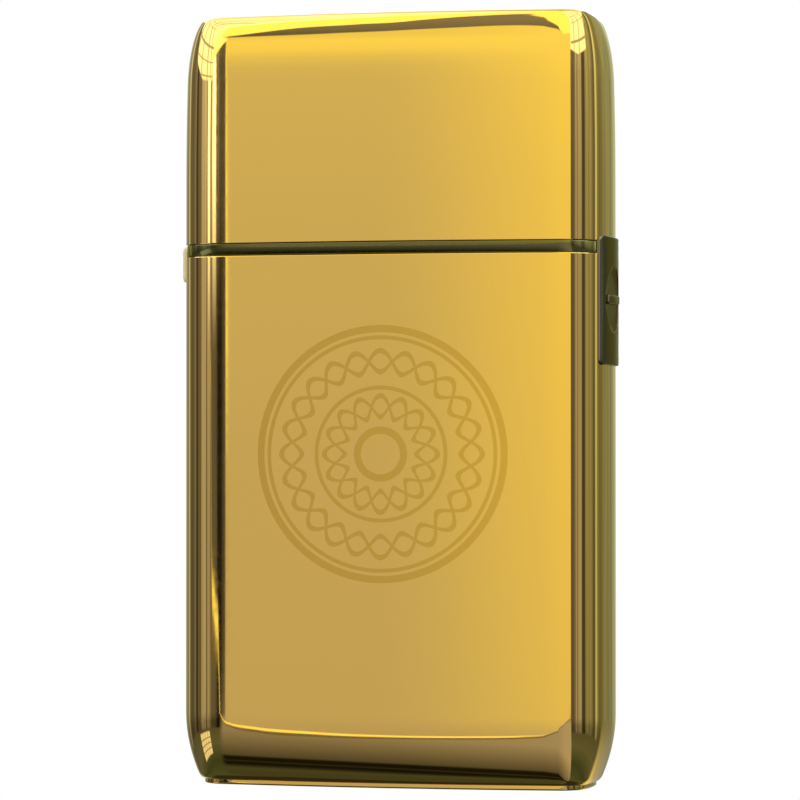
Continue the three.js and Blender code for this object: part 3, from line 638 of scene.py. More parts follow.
def body_shell():
    lip = 0.12 * MM
    edge = [shell_low.z + h for h in edge_heights(FOOT_EDGE[1], 8)]
    foot = [*edge, *straight(edge[-1], shell_low.z + FOOT_LEAN[1], 16), shell_low.z + FOOT_LEAN[1]]
    floor, top = shell_low.z + SHELL_FLOOR, shell_high.z
    wall_top = top - 2 * lip
    outer = [(foot_inset(z), z) for z in [*foot, *straight(foot[-1], wall_top, 8), wall_top]]
    rim = [(0, top - 1.3 * lip), (0, top - lip), (lip * 0.3, top - lip * 0.3), (lip, top)]
    inner = [(SHELL_WALL, top), (SHELL_WALL, foot[-1])]
    inner += [(SHELL_WALL + foot_inset(z), z) for z in reversed(foot) if z > floor]
    inner.append((SHELL_WALL + foot_inset(floor), floor))
    mesh = loft("shell_body", outer + rim + inner, bottom="flat", top="flat")
    piece = new_object("shell_body", mesh, GOLD_BODY, "root", ["body_shell"])
    outside, pocket_foot = 31 * MM, 57.0 * MM
    boss_half, stem_half = 5.2 * MM, 1.8 * MM
    gap_half = BUTTON_HALF + BUTTON_GAP
    pocket = block((25.5 * MM, -boss_half, pocket_foot), (outside, boss_half, 70.2 * MM))
    slot = block((24 * MM, -stem_half, pocket_foot), (26.5 * MM, stem_half, 63.6 * MM))
    gap = block((-outside, -gap_half, button_low.z - BUTTON_GAP), (-24 * MM, gap_half, top + 1 * MM))
    hole = rod_mesh(3.5 * MM, (SOCKET_X, 0, 0), (SOCKET_X, 0, 4 * MM))
    cut(piece, mesh_of(pocket), mesh_of(slot), mesh_of(gap), hole)
    return finish_edges(piece)


def base_plate():
    inset = WIDTH / 2 - plate_high.x
    edge = 0.25 * MM
    low, high = plate_low.z, plate_high.z
    arc = [(inset + edge * (1 - math.sin(a)), low + edge * (1 - math.cos(a)))
           for a in (math.pi / 2 * i / 5 for i in range(6))]
    profile = arc + [(inset, high - 0.05 * MM), (inset + 0.05 * MM, high)]
    mesh = loft("plate_base", profile, bottom="flat", top="flat")
    piece = new_object("plate_base", mesh, GOLD_PLAIN, "root", ["base_plate"])
    cut(piece, rod_mesh(3.05 * MM, (SOCKET_X, 0, -1 * MM), (SOCKET_X, 0, 3 * MM)))
    return finish_edges(piece)


def parting_band():
    outer = WIDTH / 2 - band_high.x
    inner = outer + BAND_WALL
    low, high, edge = band_low.z, band_high.z, 0.09 * MM
    profile = [(inner, low), (outer + edge, low), (outer + edge * 0.3, low + edge * 0.3),
               (outer, low + edge)]
    profile += [(outer, high - edge), (outer + edge * 0.3, high - edge * 0.3), (outer + edge, high)]
    profile.append((inner, high))
    mesh = loft("band_parting", profile, bottom="joined", sharp=28)
    piece = new_object("band_parting", mesh, DARK_BAND, "root", ["parting_band"])
    half = BUTTON_HALF + BUTTON_GAP
    notch = block((-31 * MM, -half, low - 1 * MM), (-27.1 * MM, half, high + 1 * MM))
    cut(piece, mesh_of(notch))
    return finish_edges(piece, 28)


def protective_cap():
    lip = 0.1 * MM
    low = cap_low.z
    roof = [HEIGHT - h for h in reversed(edge_heights(ROOF_EDGE[1], 20))]
    side = [low + lip, low + 1.3 * lip, low + 2 * lip, *straight(low + 2 * lip, roof[0], 9)]
    outer = [(lip, low), (lip * 0.3, low + lip * 0.3), *[(roof_inset(z), z) for z in side + roof]]
    ceiling = HEIGHT - CAP_WALL
    inner = [(CAP_WALL + roof_inset(z), z) for z in [ceiling, *reversed(side + roof)] if z <= ceiling]
    inner.append((CAP_WALL, low))
    outside = loft("cap_outer", outer, top="flat")
    inside = loft("cap_inner", list(reversed(inner)), top="flat")
    piece = new_object("cap_protective", outside, GOLD_PLAIN, "cap", ["protective_cap"])
    bm = bmesh.new()
    bm.from_mesh(outside)
    bm.from_mesh(inside)
    bm.verts.ensure_lookup_table()
    open_edges = [e for e in bm.edges if len(e.link_faces) == 1]
    # Known fault: this pairs each point with the one opposite, so faces
    # cross the open foot. The repair is to join the two rings point by point.
    bmesh.ops.bridge_loops(bm, edges=open_edges)
    bm.to_mesh(piece.data)
    bm.free()
    return finish_edges(piece)


# ---------------------------------------------------------------- switch tab and release button

SWITCH_DISH = dict(rim=4.4 * MM, floor=3.55 * MM, depth=0.45 * MM)
SWITCH_RIB = dict(half_length=3.3 * MM, half_height=0.6 * MM)
TAB_HEIGHT = 17.1 * MM
TAB_RADIUS = SIDE_RADIUS + 0.42 * MM
TAB_FLOOR = SIDE_CENTRE + TAB_RADIUS - SWITCH_DISH["depth"]


def rounded_rectangle(half_y, half_z, corner, middle, inset=0.0, steps=10, across=14, up=24):
    """Points (y, z) of a rounded rectangle drawn in by an inset, counterclockwise from its +Y side."""
    radius = max(corner - inset, 0.08 * MM)
    reach_y, reach_z = half_y - inset - radius, half_z - inset - radius
    points = []
    corners = ((1, 1, 0, across), (-1, 1, 90, up), (-1, -1, 180, across), (1, -1, 270, up))
    for side_y, side_z, start, straight_count in corners:
        for i in range(steps + 1):
            angle = math.radians(start + 90 * i / steps)
            points.append((side_y * reach_y + radius * math.cos(angle),
                           middle + side_z * reach_z + radius * math.sin(angle)))
        last = points[-1]
        if start in (0, 180):
            following = (-side_y * reach_y, last[1])
        else:
            following = (last[0], middle - side_z * reach_z)
        for i in range(1, straight_count):
            share = i / straight_count
            points.append((last[0] + (following[0] - last[0]) * share,
                           last[1] + (following[1] - last[1]) * share))
    return points


def side_face(y, radius, half_y=1.0, fall=0.0, width=1.0):
    """How far out a face that follows the side's arc is at a given y, falling away near its two ends."""
    near_end = max(0.0, abs(y) - (half_y - width)) / width
    return SIDE_CENTRE + math.sqrt(radius**2 - y**2) - fall * near_end**2


def rounding(inset, edge):
    """How far a rounded edge of this radius falls back where the outline is drawn in by the inset."""
    return edge - math.sqrt(max(0.0, edge**2 - (edge - min(inset, edge)) ** 2))


def side_plate_rings(shape, face, back_x, edge):
    """Rings of a plate on the +X side, from its back to the inner end of its rounded edge."""
    rings = [[(back_x, y, z) for y, z in rounded_rectangle(*shape, inset=0.0)]]
    for share in (1.0, 0.92, 0.75, 0.55, 0.36, 0.2, 0.08, 0.0):
        inset = edge * (1 - share)
        points = rounded_rectangle(*shape, inset=inset)
        rings.append([(face(y) - rounding(inset, edge), y, z) for y, z in points])
    return rings


def towards(points, target, share):
    return [tuple(a + (b - a) * share for a, b in zip(p, q)) for p, q in zip(points, target)]


def switch_tab_mesh():
    """The tab: a plate that follows the side, with a round dish whose flat floor carries a rib."""
    half_y = (switch_high.y - switch_low.y) / 2
    low, high = switch_high.z - TAB_HEIGHT, switch_high.z
    middle = (low + high) / 2
    dish_z = middle + 0.2 * MM

    def face(y):
        return side_face(y, TAB_RADIUS, half_y, fall=0.34 * MM, width=1.7 * MM)

    shape = (half_y, (high - low) / 2, 0.75 * MM, middle)
    rings = side_plate_rings(shape, face, SIDE_CENTRE + 35.1 * MM, 0.22 * MM)
    rim_start = [(y, z) for x, y, z in rings[-1]]
    angles = [math.atan2(z - dish_z, y) for y, z in rim_start]

    def circle(radius):
        return [(radius * math.cos(a), dish_z + radius * math.sin(a)) for a in angles]

    rim, floor = SWITCH_DISH["rim"], SWITCH_DISH["floor"]
    soft = 0.1 * MM
    for share in (0.25, 0.5, 0.75, 0.95):
        flat = towards(rim_start, circle(rim + soft), share)
        rings.append([(face(y), y, z) for y, z in flat])
    for fall, wider in ((0.0, 1.0), (0.3, 0.3), (1.0, 0.0)):
        rings.append([(face(y) - fall * soft, y, z) for y, z in circle(rim + wider * soft)])
    for share in (1.0, 0.97, 0.6, 0.3):
        rings.append([(TAB_FLOOR, y, z) for y, z in circle(floor * share)])
    return closed_mesh("tab", rings, (rings[0][0][0], 0, middle), (TAB_FLOOR, 0, dish_z), 40)


def switch_tab():
    middle = switch_high.z - 8.35 * MM
    half_length, half_height = SWITCH_RIB["half_length"], SWITCH_RIB["half_height"]
    boss_y, boss_z, stem_y = 4.9 * MM, 4.8 * MM, 1.5 * MM
    stem_foot, stem_top = 60.3 * MM, 63.3 * MM
    rib = rounded_bar((TAB_FLOOR - 0.3 * MM, -half_length, middle - half_height),
                      (switch_high.x, half_length, middle + half_height), 0.24 * MM)
    boss = rounded_bar((SIDE_CENTRE + 35.35 * MM, -boss_y, middle - boss_z),
                       (SIDE_CENTRE + 35.9 * MM, boss_y, middle + boss_z), 0.2 * MM, 3)
    stem = rounded_bar((switch_low.x, -stem_y, stem_foot), (SIDE_CENTRE + 35.6 * MM, stem_y, stem_top),
                       0.2 * MM, 3)
    mesh = merged("tab_switch", [switch_tab_mesh(), rib, boss, stem], 40)
    return new_object("tab_switch", mesh, DARK_TRIM, "switch", ["switch_slider"])


def release_button():
    """A pale convex pad on the -X side, with its plunger behind it."""
    half_z = (button_high.z - button_low.z) / 2
    middle = (button_low.z + button_high.z) / 2
    radius = SIDE_RADIUS + 0.49 * MM
    dip, thickness, plunger_z = 0.16 * MM, 0.9 * MM, 69.05 * MM

    def face(y):
        return side_face(y, radius)

    shape = (BUTTON_HALF, half_z, 0.9 * MM, middle)
    rings = side_plate_rings(shape, face, SIDE_CENTRE + radius - thickness, 0.34 * MM)
    rim = [(y, z) for x, y, z in rings[-1]]
    for share in (0.75, 0.5, 0.25):
        flat = [(y * share, middle + (z - middle) * share) for y, z in rim]
        fall = dip * math.cos(math.pi / 2 * share) ** 2
        rings.append([(face(y) - fall, y, z) for y, z in flat])
    rings = [[(-x, y, z) for x, y, z in ring] for ring in rings]
    pad = closed_mesh("pad", rings, (rings[0][0][0], 0, middle), (-(face(0) - dip), 0, middle), 40)
    back = -(SIDE_CENTRE + radius - 0.7 * MM)
    plunger = rod_mesh(1.1 * MM, (back, 0, plunger_z), (button_high.x, 0, plunger_z), 32)
    mesh = merged("button_release", [pad, plunger], 40)
    return new_object("button_release", mesh, PALE_GOLD, "button", ["release_button"])


body_shell()
base_plate()
parting_band()
protective_cap()
switch_tab()
release_button()

# ---------------------------------------------------------------- shaving head

FOIL_Y = 2.8 * MM
FOIL_AXIS = 89.6 * MM
FOIL_SHEET = 0.12 * MM
FOIL_RADIUS = 2.6 * MM - FOIL_SHEET
FOIL_PITCH = 0.72 * MM
CUTTER_RADIUS = 2.15 * MM
CUTTER_BLADES = 36
BLADE = 0.34 * MM
SPINE_LOW, SPINE_HIGH = 84.6 * MM, 86.0 * MM


def foil_point(length, arc, radius):
    """A point of the arched sheet: arc runs from the front skirt over the top, 0 at the crest."""
    quarter_arc = radius * math.pi / 2
    if abs(arc) <= quarter_arc:
        angle = arc / radius
        return length, radius * math.sin(angle), FOIL_AXIS + radius * math.cos(angle)
    side = math.copysign(radius, arc)
    return length, side, FOIL_AXIS - (abs(arc) - quarter_arc)


def perforated_sheet(half_length, half_arc, radius, pitch):
    """Honeycomb of six-sided holes wrapped over the arch."""
    bm = bmesh.new()
    rows = int(half_arc / (pitch * math.sqrt(3) / 2))
    columns = int(half_length / pitch)
    corner = pitch / math.sqrt(3)
    for row in range(-rows, rows + 1):
        shift = pitch / 2 if row % 2 else 0.0
        for column in range(-columns, columns + 1):
            centre = (column * pitch + shift, row * pitch * math.sqrt(3) / 2)
            if abs(centre[0]) > half_length:
                continue
            loops = []
            for size in (corner, corner * 0.74):
                ring = []
                for k in range(6):
                    angle = math.radians(30 + 60 * k)
                    place = foil_point(centre[0] + size * math.cos(angle),
                                       centre[1] + size * math.sin(angle), radius)
                    ring.append(bm.verts.new(place))
                loops.append(ring)
            outer, inner = loops
            for k in range(6):
                bm.faces.new((outer[k], outer[(k + 1) % 6], inner[(k + 1) % 6], inner[k]))
    bmesh.ops.remove_doubles(bm, verts=bm.verts, dist=pitch * 0.05)
    return bm


def foil_margin(bm, low, high, arc_low, arc_high, radius, steps=24):
    """A plain strip of the sheet between two lengths and two arc positions."""
    rings = []
    for i in range(steps + 1):
        arc = arc_low + (arc_high - arc_low) * i / steps
        rings.append([bm.verts.new(foil_point(length, arc, radius)) for length in (low, high)])
    for first, second in zip(rings, rings[1:]):
        bm.faces.new((first[0], first[1], second[1], second[0]))


def foil(side, name, node, body):
    """A thin arched foil: a fine honeycomb over the top, with plain margins and skirts."""
    low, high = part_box(node)
    half_length = (high.x - low.x) / 2
    crest_arc = FOIL_RADIUS * math.pi / 2
    skirt_arc = crest_arc + FOIL_AXIS - low.z
    open_length, open_arc = half_length - 1.6 * MM, crest_arc * 0.86
    bm = perforated_sheet(open_length, open_arc, FOIL_RADIUS, FOIL_PITCH)
    under, overlap = FOIL_RADIUS - 0.012 * MM, 0.25 * MM
    for side_sign in (-1, 1):
        edge, end = side_sign * (open_arc - overlap), side_sign * skirt_arc
        foil_margin(bm, -half_length, half_length, *sorted((edge, end)), under, 30)
        near, far = sorted((side_sign * (open_length - overlap), side_sign * half_length))
        foil_margin(bm, near, far, -open_arc, open_arc, under, 40)
    bmesh.ops.translate(bm, verts=bm.verts, vec=(0, side * FOIL_Y, 0))
    piece = new_object(name, mesh_of(bm, name), FINISHES["foil_metal"], body, [node])
    thicken = piece.modifiers.new("sheet", "SOLIDIFY")
    thicken.thickness = FOIL_SHEET
    thicken.offset = 0.0
    apply_modifiers(piece)
    return finish_edges(piece, 30)


def arch(radius, foot, steps=14):
    """Points (y, z) of a round arch on two straight legs."""
    angles = [math.pi * i / steps for i in range(steps + 1)]
    over = [(-radius * math.cos(a), FOIL_AXIS + radius * math.sin(a)) for a in angles]
    return [(-radius, foot), *over, (radius, foot)]


def blade_mesh(x, y, wall, foot):
    """One arched blade across the cutter, its legs standing on the spine."""
    half = BLADE / 2
    rings = []
    for (oy, oz), (iy, iz) in zip(arch(CUTTER_RADIUS, foot), arch(CUTTER_RADIUS - wall, foot)):
        outside, inside = [(x - half, y + oy, oz),
                           (x + half, y + oy, oz)], [(x + half, y + iy, iz), (x - half, y + iy, iz)]
        rings.append(outside + inside)
    verts = [point for ring in rings for point in ring]
    faces = ring_faces(len(rings), 4)
    last = len(verts) - 4
    faces += [(3, 2, 1, 0), (last, last + 1, last + 2, last + 3)]
    return mesh_from("blade", verts, faces, 30)


def cutter(side, name, node, body):
    """A comb of thin arched blades on a spine, with a round socket under it."""
    low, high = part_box(node)
    y = side * FOIL_Y
    reach = high.x - BLADE / 2
    spots = [-reach + 2 * reach * i / (CUTTER_BLADES - 1) for i in range(CUTTER_BLADES)]
    parts = [blade_mesh(x, y, 0.5 * MM, SPINE_HIGH - 0.4 * MM) for x in spots]
    parts.append(rounded_bar((low.x, y - CUTTER_RADIUS, SPINE_LOW + 0.3 * MM),
                             (high.x, y + CUTTER_RADIUS, SPINE_HIGH), 0.15 * MM, 3))
    hub = bpy.data.objects.new("hub", rod_mesh(1.5 * MM, (0, y, low.z), (0, y, SPINE_HIGH - 0.2 * MM), 40))
    bpy.context.scene.collection.objects.link(hub)
    cut(hub, rod_mesh(0.95 * MM, (0, y, low.z - 1 * MM), (0, y, SPINE_LOW + 0.8 * MM), 32))
    parts.append(hub.data)
    bpy.data.objects.remove(hub)
    mesh = merged(name, parts, 30)
    return new_object(name, mesh, FINISHES["cutter_steel"], body, [node])


def coil_spring(name, node, body, axis, wire, turns):
    """A round-wire spring that fills its CAD node's box along the axis, with closed end turns."""
    low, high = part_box(node)
    centre = (low + high) / 2
    across = "y" if axis == "x" else "x"
    mean = (getattr(high, across) - getattr(low, across)) / 2 - wire
    start, end = getattr(low, axis) + wire, getattr(high, axis) - wire
    curve = bpy.data.curves.new(name, "CURVE")
    curve.dimensions = "3D"
    curve.bevel_depth = wire
    curve.bevel_resolution = 4
    steps = turns * 28
    spline = curve.splines.new("POLY")
    spline.points.add(steps)
    for i, point in enumerate(spline.points):
        share = i / steps
        rise = min(1.0, max(0.0, (share * turns - 0.8) / (turns - 1.6)))
        angle = 2 * math.pi * turns * share
        along = start + (end - start) * (0.06 * share + 0.94 * rise)
        u, v = mean * math.cos(angle), mean * math.sin(angle)
        place = (along, centre.y + u, centre.z + v) if axis == "x" else (centre.x + u, centre.y + v, along)
        point.co = (*place, 1)
    maker = bpy.data.objects.new(name + "_wire", curve)
    bpy.context.scene.collection.objects.link(maker)
    bpy.context.view_layer.update()
    mesh = bpy.data.meshes.new_from_object(maker.evaluated_get(bpy.context.evaluated_depsgraph_get()))
    bpy.data.objects.remove(maker)
    smooth_by_angle(mesh, 60)
    return new_object(name, mesh, FINISHES["spring_steel"], body, [node])


# ---------------------------------------------------------------- mechanical pieces with softened edges


def refined(node, width, sharp=26):
    """The CAD solid with coplanar faces joined and every sharp edge rounded to a width."""
    source = frame["nodes"][node]
    bm = bmesh.new()
    bm.from_mesh(source.data)
    bmesh.ops.remove_doubles(bm, verts=bm.verts, dist=1e-6)
    bmesh.ops.dissolve_limit(bm, angle_limit=math.radians(0.6), verts=bm.verts, edges=bm.edges)
    mesh = mesh_of(bm, node + "_fine")
    slot = SLOT_OF[node]
    piece = new_object(node + "_fine", mesh, FINISHES[slot], source["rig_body"], [node])
    bevel = piece.modifiers.new("edges", "BEVEL")
    bevel.width = width
    bevel.segments = 2
    bevel.limit_method = "ANGLE"
    bevel.angle_limit = math.radians(sharp)
    apply_modifiers(piece)
    return finish_edges(piece, 40)


SOFT_EDGES = {
    0.25 * MM: ("head_tray", "foil_housing", "battery_cell", "motor_can", "motor_endcap"),
    0.15 * MM: ("bridge_guide", "drive_bridge", "eccentric_cam", "foil_carrier_front", "foil_carrier_rear",
                "shaft_seal", "inner_frame", "charge_socket", "motor_rotor", "board_capacitor"),
    0.08 * MM: ("motor_magnet_left", "motor_magnet_right", "circuit_board", "board_controller",
                "slide_switch_body", "slide_switch_actuator", "battery_tab_positive", "battery_tab_negative",
                "base_screw_left", "base_screw_right", "frame_screw_left", "frame_screw_right",
                "guide_screw_left", "guide_screw_right", "motor_screw_left", "motor_screw_right"),
}


def let_squash(spring, axis):
    """Finds where the spring would be held, its low end, or along x its high end, and gives it its own mesh;
    nothing shortens it.
    """
    index = "xyz".index(axis)
    places = [v.co for v in spring.data.vertices]
    low, high = (Vector([pick(p[i] for p in places) for i in range(3)]) for pick in (min, max))
    anchor = (low + high) / 2
    anchor[index] = high[index] if axis == "x" else low[index]
    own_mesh(spring)


def head_and_drive():
    for side, end in ((-1, "front"), (1, "rear")):
        foil(side, "foil_sheet_" + end, "foil_" + end, "foil_unit_" + end)
        cutter(side, "cutter_comb_" + end, "cutter_" + end, "cutter_unit_" + end)
        spring = coil_spring("spring_cutter_" + end, "cutter_spring_" + end, "bridge", "z", 0.2 * MM, 6)
        let_squash(spring, "z")
    spring = coil_spring("spring_release", "release_spring", "root", "x", 0.18 * MM, 5)
    let_squash(spring, "x")
    for width, nodes in SOFT_EDGES.items():
        for node in nodes:
            refined(node, width)


def finish_remaining():
    """Every CAD node that still shows takes its slot's finish."""
    for node, obj in frame["nodes"].items():
        finish = FINISHES[SLOT_OF[node]]
        for slot in obj.material_slots:
            slot.material = finish
        if not obj.material_slots:
            obj.data.materials.append(finish)


head_and_drive()
finish_remaining()

# ---------------------------------------------------------------- studio


class Room(Nodes):
    """The surroundings, written by direction: degrees round from the front towards +X, and degrees up."""

    def __init__(self, tree):
        super().__init__(tree)
        toward = self.add("ShaderNodeTexCoord").outputs["Generated"]
        split = self.add("ShaderNodeSeparateXYZ")
        self.link(toward, split.inputs[0])
        x, y, z = split.outputs
        ahead = self.times(y, -1.0)
        self.turn = self.times(self.math("ARCTAN2", x, ahead), 180 / math.pi)
        self.rise = self.times(self.math("ARCSINE", z), 180 / math.pi)
        steep = self.math("MINIMUM", self.math("ABSOLUTE", self.rise), 45.0)
        stretch = self.math("ADD", 1.0, self.times(self.math("POWER", steep, 2.0), 0.00016))
        self.post = self.math("DIVIDE", self.turn, stretch)

    def along(self, value, low, high, stops, interpolation="LINEAR"):
        """A colour ramp over one stretch of the turn, the rise or another value in degrees."""
        share = self.spread(value, low, high)
        places = [((place - low) / (high - low), colour) for place, colour in stops]
        return self.ramp(share, places, interpolation)

    def around(self, stops):
        return self.along(self.turn, -180.0, 180.0, stops)

    def upward(self, stops):
        return self.along(self.rise, -90.0, 90.0, stops)

    def skyline(self, stops):
        """Elevation in degrees of a line that runs round the room through (turn, rise) points."""
        grey = [(turn, [(rise + 90) / 180] * 3) for turn, rise in stops]
        return self.spread(self.around(grey), 0.0, 1.0, -90.0, 90.0)

    def curve(self, low, high, stops):
        """The same over one stretch of turns, as a smooth curve through its points."""
        grey = [(turn, [(rise + 90) / 180] * 3) for turn, rise in stops]
        return self.spread(self.along(self.turn, low, high, grey, "CARDINAL"), 0.0, 1.0, -90.0, 90.0)

    def over(self, line, soft):
        """1 above a line, 0 below it."""
        return self.spread(self.math("SUBTRACT", self.rise, line), -soft, soft, 0.0, 1.0, True)

    def within(self, low, high, soft, value=None):
        """1 between two bounds of the turn, or of another value."""
        value = self.turn if value is None else value
        rising = self.spread(value, low - soft, low + soft, 0.0, 1.0, True)
        falling = self.spread(value, high - soft, high + soft, 1.0, 0.0, True)
        return self.times(rising, falling)

    def lay(self, under, mask, colour):
        """One colour over another where the mask is 1."""
        colour = colour if isinstance(colour, bpy.types.NodeSocket) else (*colour, 1)
        return self.mix(mask, under, colour)


def dusk(value):
    """A dim neutral of the room, a little blue."""
    return (value, value, 1.9 * value)


def moss(value):
    """A dim, slightly green tone of the room's far sides."""
    return (value, 1.09 * value, 1.5 * value)


WINDOW_LIGHT = (1.5, 1.68, 3.0)
LAMP_LIGHT = (1.6, 1.55, 0.95)


def stripes(room, low, high, tint, values):
    """Upright stripes between two turns, with a tint that makes a colour of each brightness."""
    return room.along(room.post, low, high, [(turn, tint(value)) for turn, value in values])


def left_walls(room):
    """From behind to the front panel: dim mouldings, a tan door, windows and a black post."""
    behind = stripes(room, -180.0, -101.0, moss,
                     [(-180, 0.5), (-153, 0.36), (-151, 0.7), (-148, 0.7), (-145, 0.32), (-128, 0.26),
                      (-121, 0.24), (-119.5, 0.62), (-116, 0.6), (-114, 0.24), (-108, 0.12), (-101, 0.12)])
    beside = stripes(room, -101.0, -66.0, dusk,
                     [(-101, 0.12), (-95, 0.11), (-93, 0.2), (-90, 0.14), (-88, 0.24), (-85, 0.2),
                      (-83, 0.05), (-78, 0.05), (-76.5, 0.15), (-70, 0.16), (-66, 0.17)])
    low = stripes(room, -66.0, -30.0, dusk,
                  [(-66, 0.16), (-65.3, 0.16), (-65.0, 0.45), (-51, 0.47), (-50.3, 0.4), (-49.8, 0.09),
                   (-48.2, 0.08), (-47.6, 0.36), (-43, 0.44), (-40, 0.37), (-39.2, 0.24), (-36, 0.15),
                   (-34, 0.13), (-33.1, 0.1), (-32.9, 0.015), (-31.7, 0.015), (-31.3, 0.07), (-30.9, 0.09),
                   (-30.0, 0.12)])
    glare = 2.3
    high = stripes(room, -66.0, -30.0, dusk,
                   [(-66, 0.2), (-64.5, 0.45), (-51, 0.55), (-47.5, 0.5), (-46.8, 0.25), (-45.4, 0.25),
                    (-45, glare), (-40.6, glare), (-40.2, 0.55), (-36.6, 0.4), (-34.9, 0.5), (-34.6, glare),
                    (-33.5, glare), (-33.3, 0.25), (-32.9, 0.08), (-32.6,
                                                                   0.3), (-32.3, 0.09), (-30.0, 0.08)])
    front = room.mix(room.spread(room.rise, 1.2, 4.4, smooth=True), low, high)
    walls = room.mix(room.math("GREATER_THAN", room.post, -66.0), beside, front)
    return room.mix(room.math("GREATER_THAN", room.post, -101.0), behind, walls)


def right_walls(room):
    """From the front panel round to behind: posts, pale strips and the dim far side."""
    front = stripes(room, 36.0, 72.0, dusk,
                    [(36, 0.3), (37, 0.14), (44, 0.12), (46, 0.2), (48.5, 0.16), (49.5, 0.45), (51.5, 0.4),
                     (53, 0.26), (56, 0.3), (57, 0.42), (65, 0.4), (66, 0.22), (67, 0.09), (72, 0.06)])
    far = stripes(room, 72.0, 180.0, moss,
                  [(72, 0.06), (75, 0.08), (77, 0.28), (84, 0.36), (88, 0.24), (93, 0.33), (98, 0.24),
                   (102, 0.14), (107, 0.12), (109, 0.2), (111, 0.66), (115, 0.62), (118, 0.26), (123, 0.2),
                   (128, 0.16), (140, 0.19), (150, 0.25), (160, 0.26), (168, 0.24), (180, 0.5)])
    return room.mix(room.math("GREATER_THAN", room.post, 72.0), front, far)


def room_walls(room):
    """Walls left and right of the front panel, paler upwards, with faint vertical streaks."""
    walls = room.mix(room.math("GREATER_THAN", room.turn, 0.0), left_walls(room), right_walls(room))
    lift = room.upward([(-17, (0.4, 0.4, 0.4)), (-9, (0.55, 0.55, 0.55)), (-4, (0.9, 0.9, 0.9)),
                        (2, (1, 1, 1)), (7, (1.2, 1.2, 1.2)), (16, (1.4, 1.4, 1.4))])
    walls = room.mix(1.0, walls, lift, "MULTIPLY")
    far_tint = room.along(room.math("ABSOLUTE", room.turn), 110.0, 165.0,
                          [(110, (1, 1, 1)), (165, (1, 1.03, 0.5))])
    walls = room.mix(1.0, walls, far_tint, "MULTIPLY")
    cells = room.add("ShaderNodeCombineXYZ")
    room.feed(cells.inputs[0], room.times(room.post, 0.35))
    room.feed(cells.inputs[1], room.times(room.rise, 0.16))
    streaks = room.spread(room.noise(cells.outputs[0], 1.0, 3.0), 0.35, 0.65, 0.86, 1.14)
    return room.mix(1.0, walls, streaks, "MULTIPLY")


def room_colour(room):
    """Walls, the dark ground below them and the lit upper part of the room."""
    colour = room_walls(room)
    ground = room.upward([(-60, (0.03, 0.03, 0.04)), (-48, (0.08, 0.11, 0.14)), (-36, (0.05, 0.07, 0.08)),
                          (-24, (0.12, 0.14, 0.2)), (-15, (0.1, 0.11, 0.15))])
    below = room.without(room.over(-14.0, 1.0))
    colour = room.lay(colour, below, ground)
    skyline = room.skyline([(-180, 12), (-165, 4), (-150, 18), (-125, 33), (-110, 27), (-90, 14), (-66, 9),
                            (-36.5, 9), (-36, 30), (-30, 33), (-29,
                                                               10), (35, 10), (37, 22), (60, 18), (88, 19),
                            (100, 33), (116, 44), (150, 48), (166, 38), (180, 12)])
    warm = room.within(-38.0, 30.0, 8.0)
    sky = room.mix(warm, (*WINDOW_LIGHT, 1), (*LAMP_LIGHT, 1))
    colour = room.lay(colour, room.over(skyline, 0.6), sky)
    return window_frames(room, colour, skyline)


def room_behind(room, colour):
    """A second soft panel low behind, and a plain ceiling over it."""
    far_round = room.without(room.within(-140.0, 140.0, 9.0))
    panel = room.upward([(-42, (0.6, 0.55, 0.42)), (-32, (0.95, 0.88, 0.62)), (-22, (0.8, 0.74, 0.58)),
                         (-15, (0.45, 0.43, 0.38)), (-8, (0.26, 0.27, 0.22)), (-4, (0.26, 0.27, 0.2))])
    behind = room.times(far_round, room.within(-43.0, -6.0, 2.5, room.rise))
    colour = room.lay(colour, behind, panel)
    ceiling = room.upward([(46, (1.0, 0.94, 0.75)), (62, (0.9, 0.83, 0.62)), (90, (0.75, 0.69, 0.5))])
    return room.lay(colour, room.times(far_round, room.over(48.0, 2.0)), ceiling)


def window_frames(room, colour, skyline):
    """Thin dark posts and rails in front of the windows."""
    frames = None
    posts = ((-150, 2.5), (-120, 2.0), (-92, 2.0), (-70, 1.2), (-50, 1.1), (-40.5, 0.5), (47, 0.8),
             (62, 1.0), (84, 1.2))
    for turn, half in posts:
        post = room.within(turn - half, turn + half, 0.3, room.post)
        frames = post if frames is None else room.math("MAXIMUM", frames, post)
    for rise, half in ((10.5, 0.4), (17, 0.35), (25.5, 0.9), (44, 0.5), (56, 0.5)):
        rail = room.within(rise - half, rise + half, 0.25, room.rise)
        frames = room.math("MAXIMUM", frames, rail)
    beside = room.without(room.within(-35.5, 38.0, 0.8, room.post))
    frames = room.times(room.times(frames, beside), room.over(skyline, 1.0))
    low_frames = room.times(frames, room.without(room.over(68.0, 2.0)))
    return room.lay(colour, room.times(low_frames, 0.8), (0.3, 0.28, 0.3))


def low_window(room, colour):
    """A small barred window low on the left."""
    pane = room.times(room.within(-74.0, -43.0, 1.0), room.within(-31.0, -16.0, 0.6, room.rise))
    colour = room.lay(colour, pane, (0.95, 1.0, 1.9))
    bars = None
    for turn in (-66.0, -58.0, -50.0):
        bar = room.within(turn - 0.5, turn + 0.5, 0.3)
        bars = bar if bars is None else room.math("MAXIMUM", bars, bar)
    for rise in (-27.0, -23.5, -20.0):
        bars = room.math("MAXIMUM", bars, room.within(rise - 0.35, rise + 0.35, 0.2, room.rise))
    return room.lay(colour, room.times(bars, pane), (0.3, 0.28, 0.35))


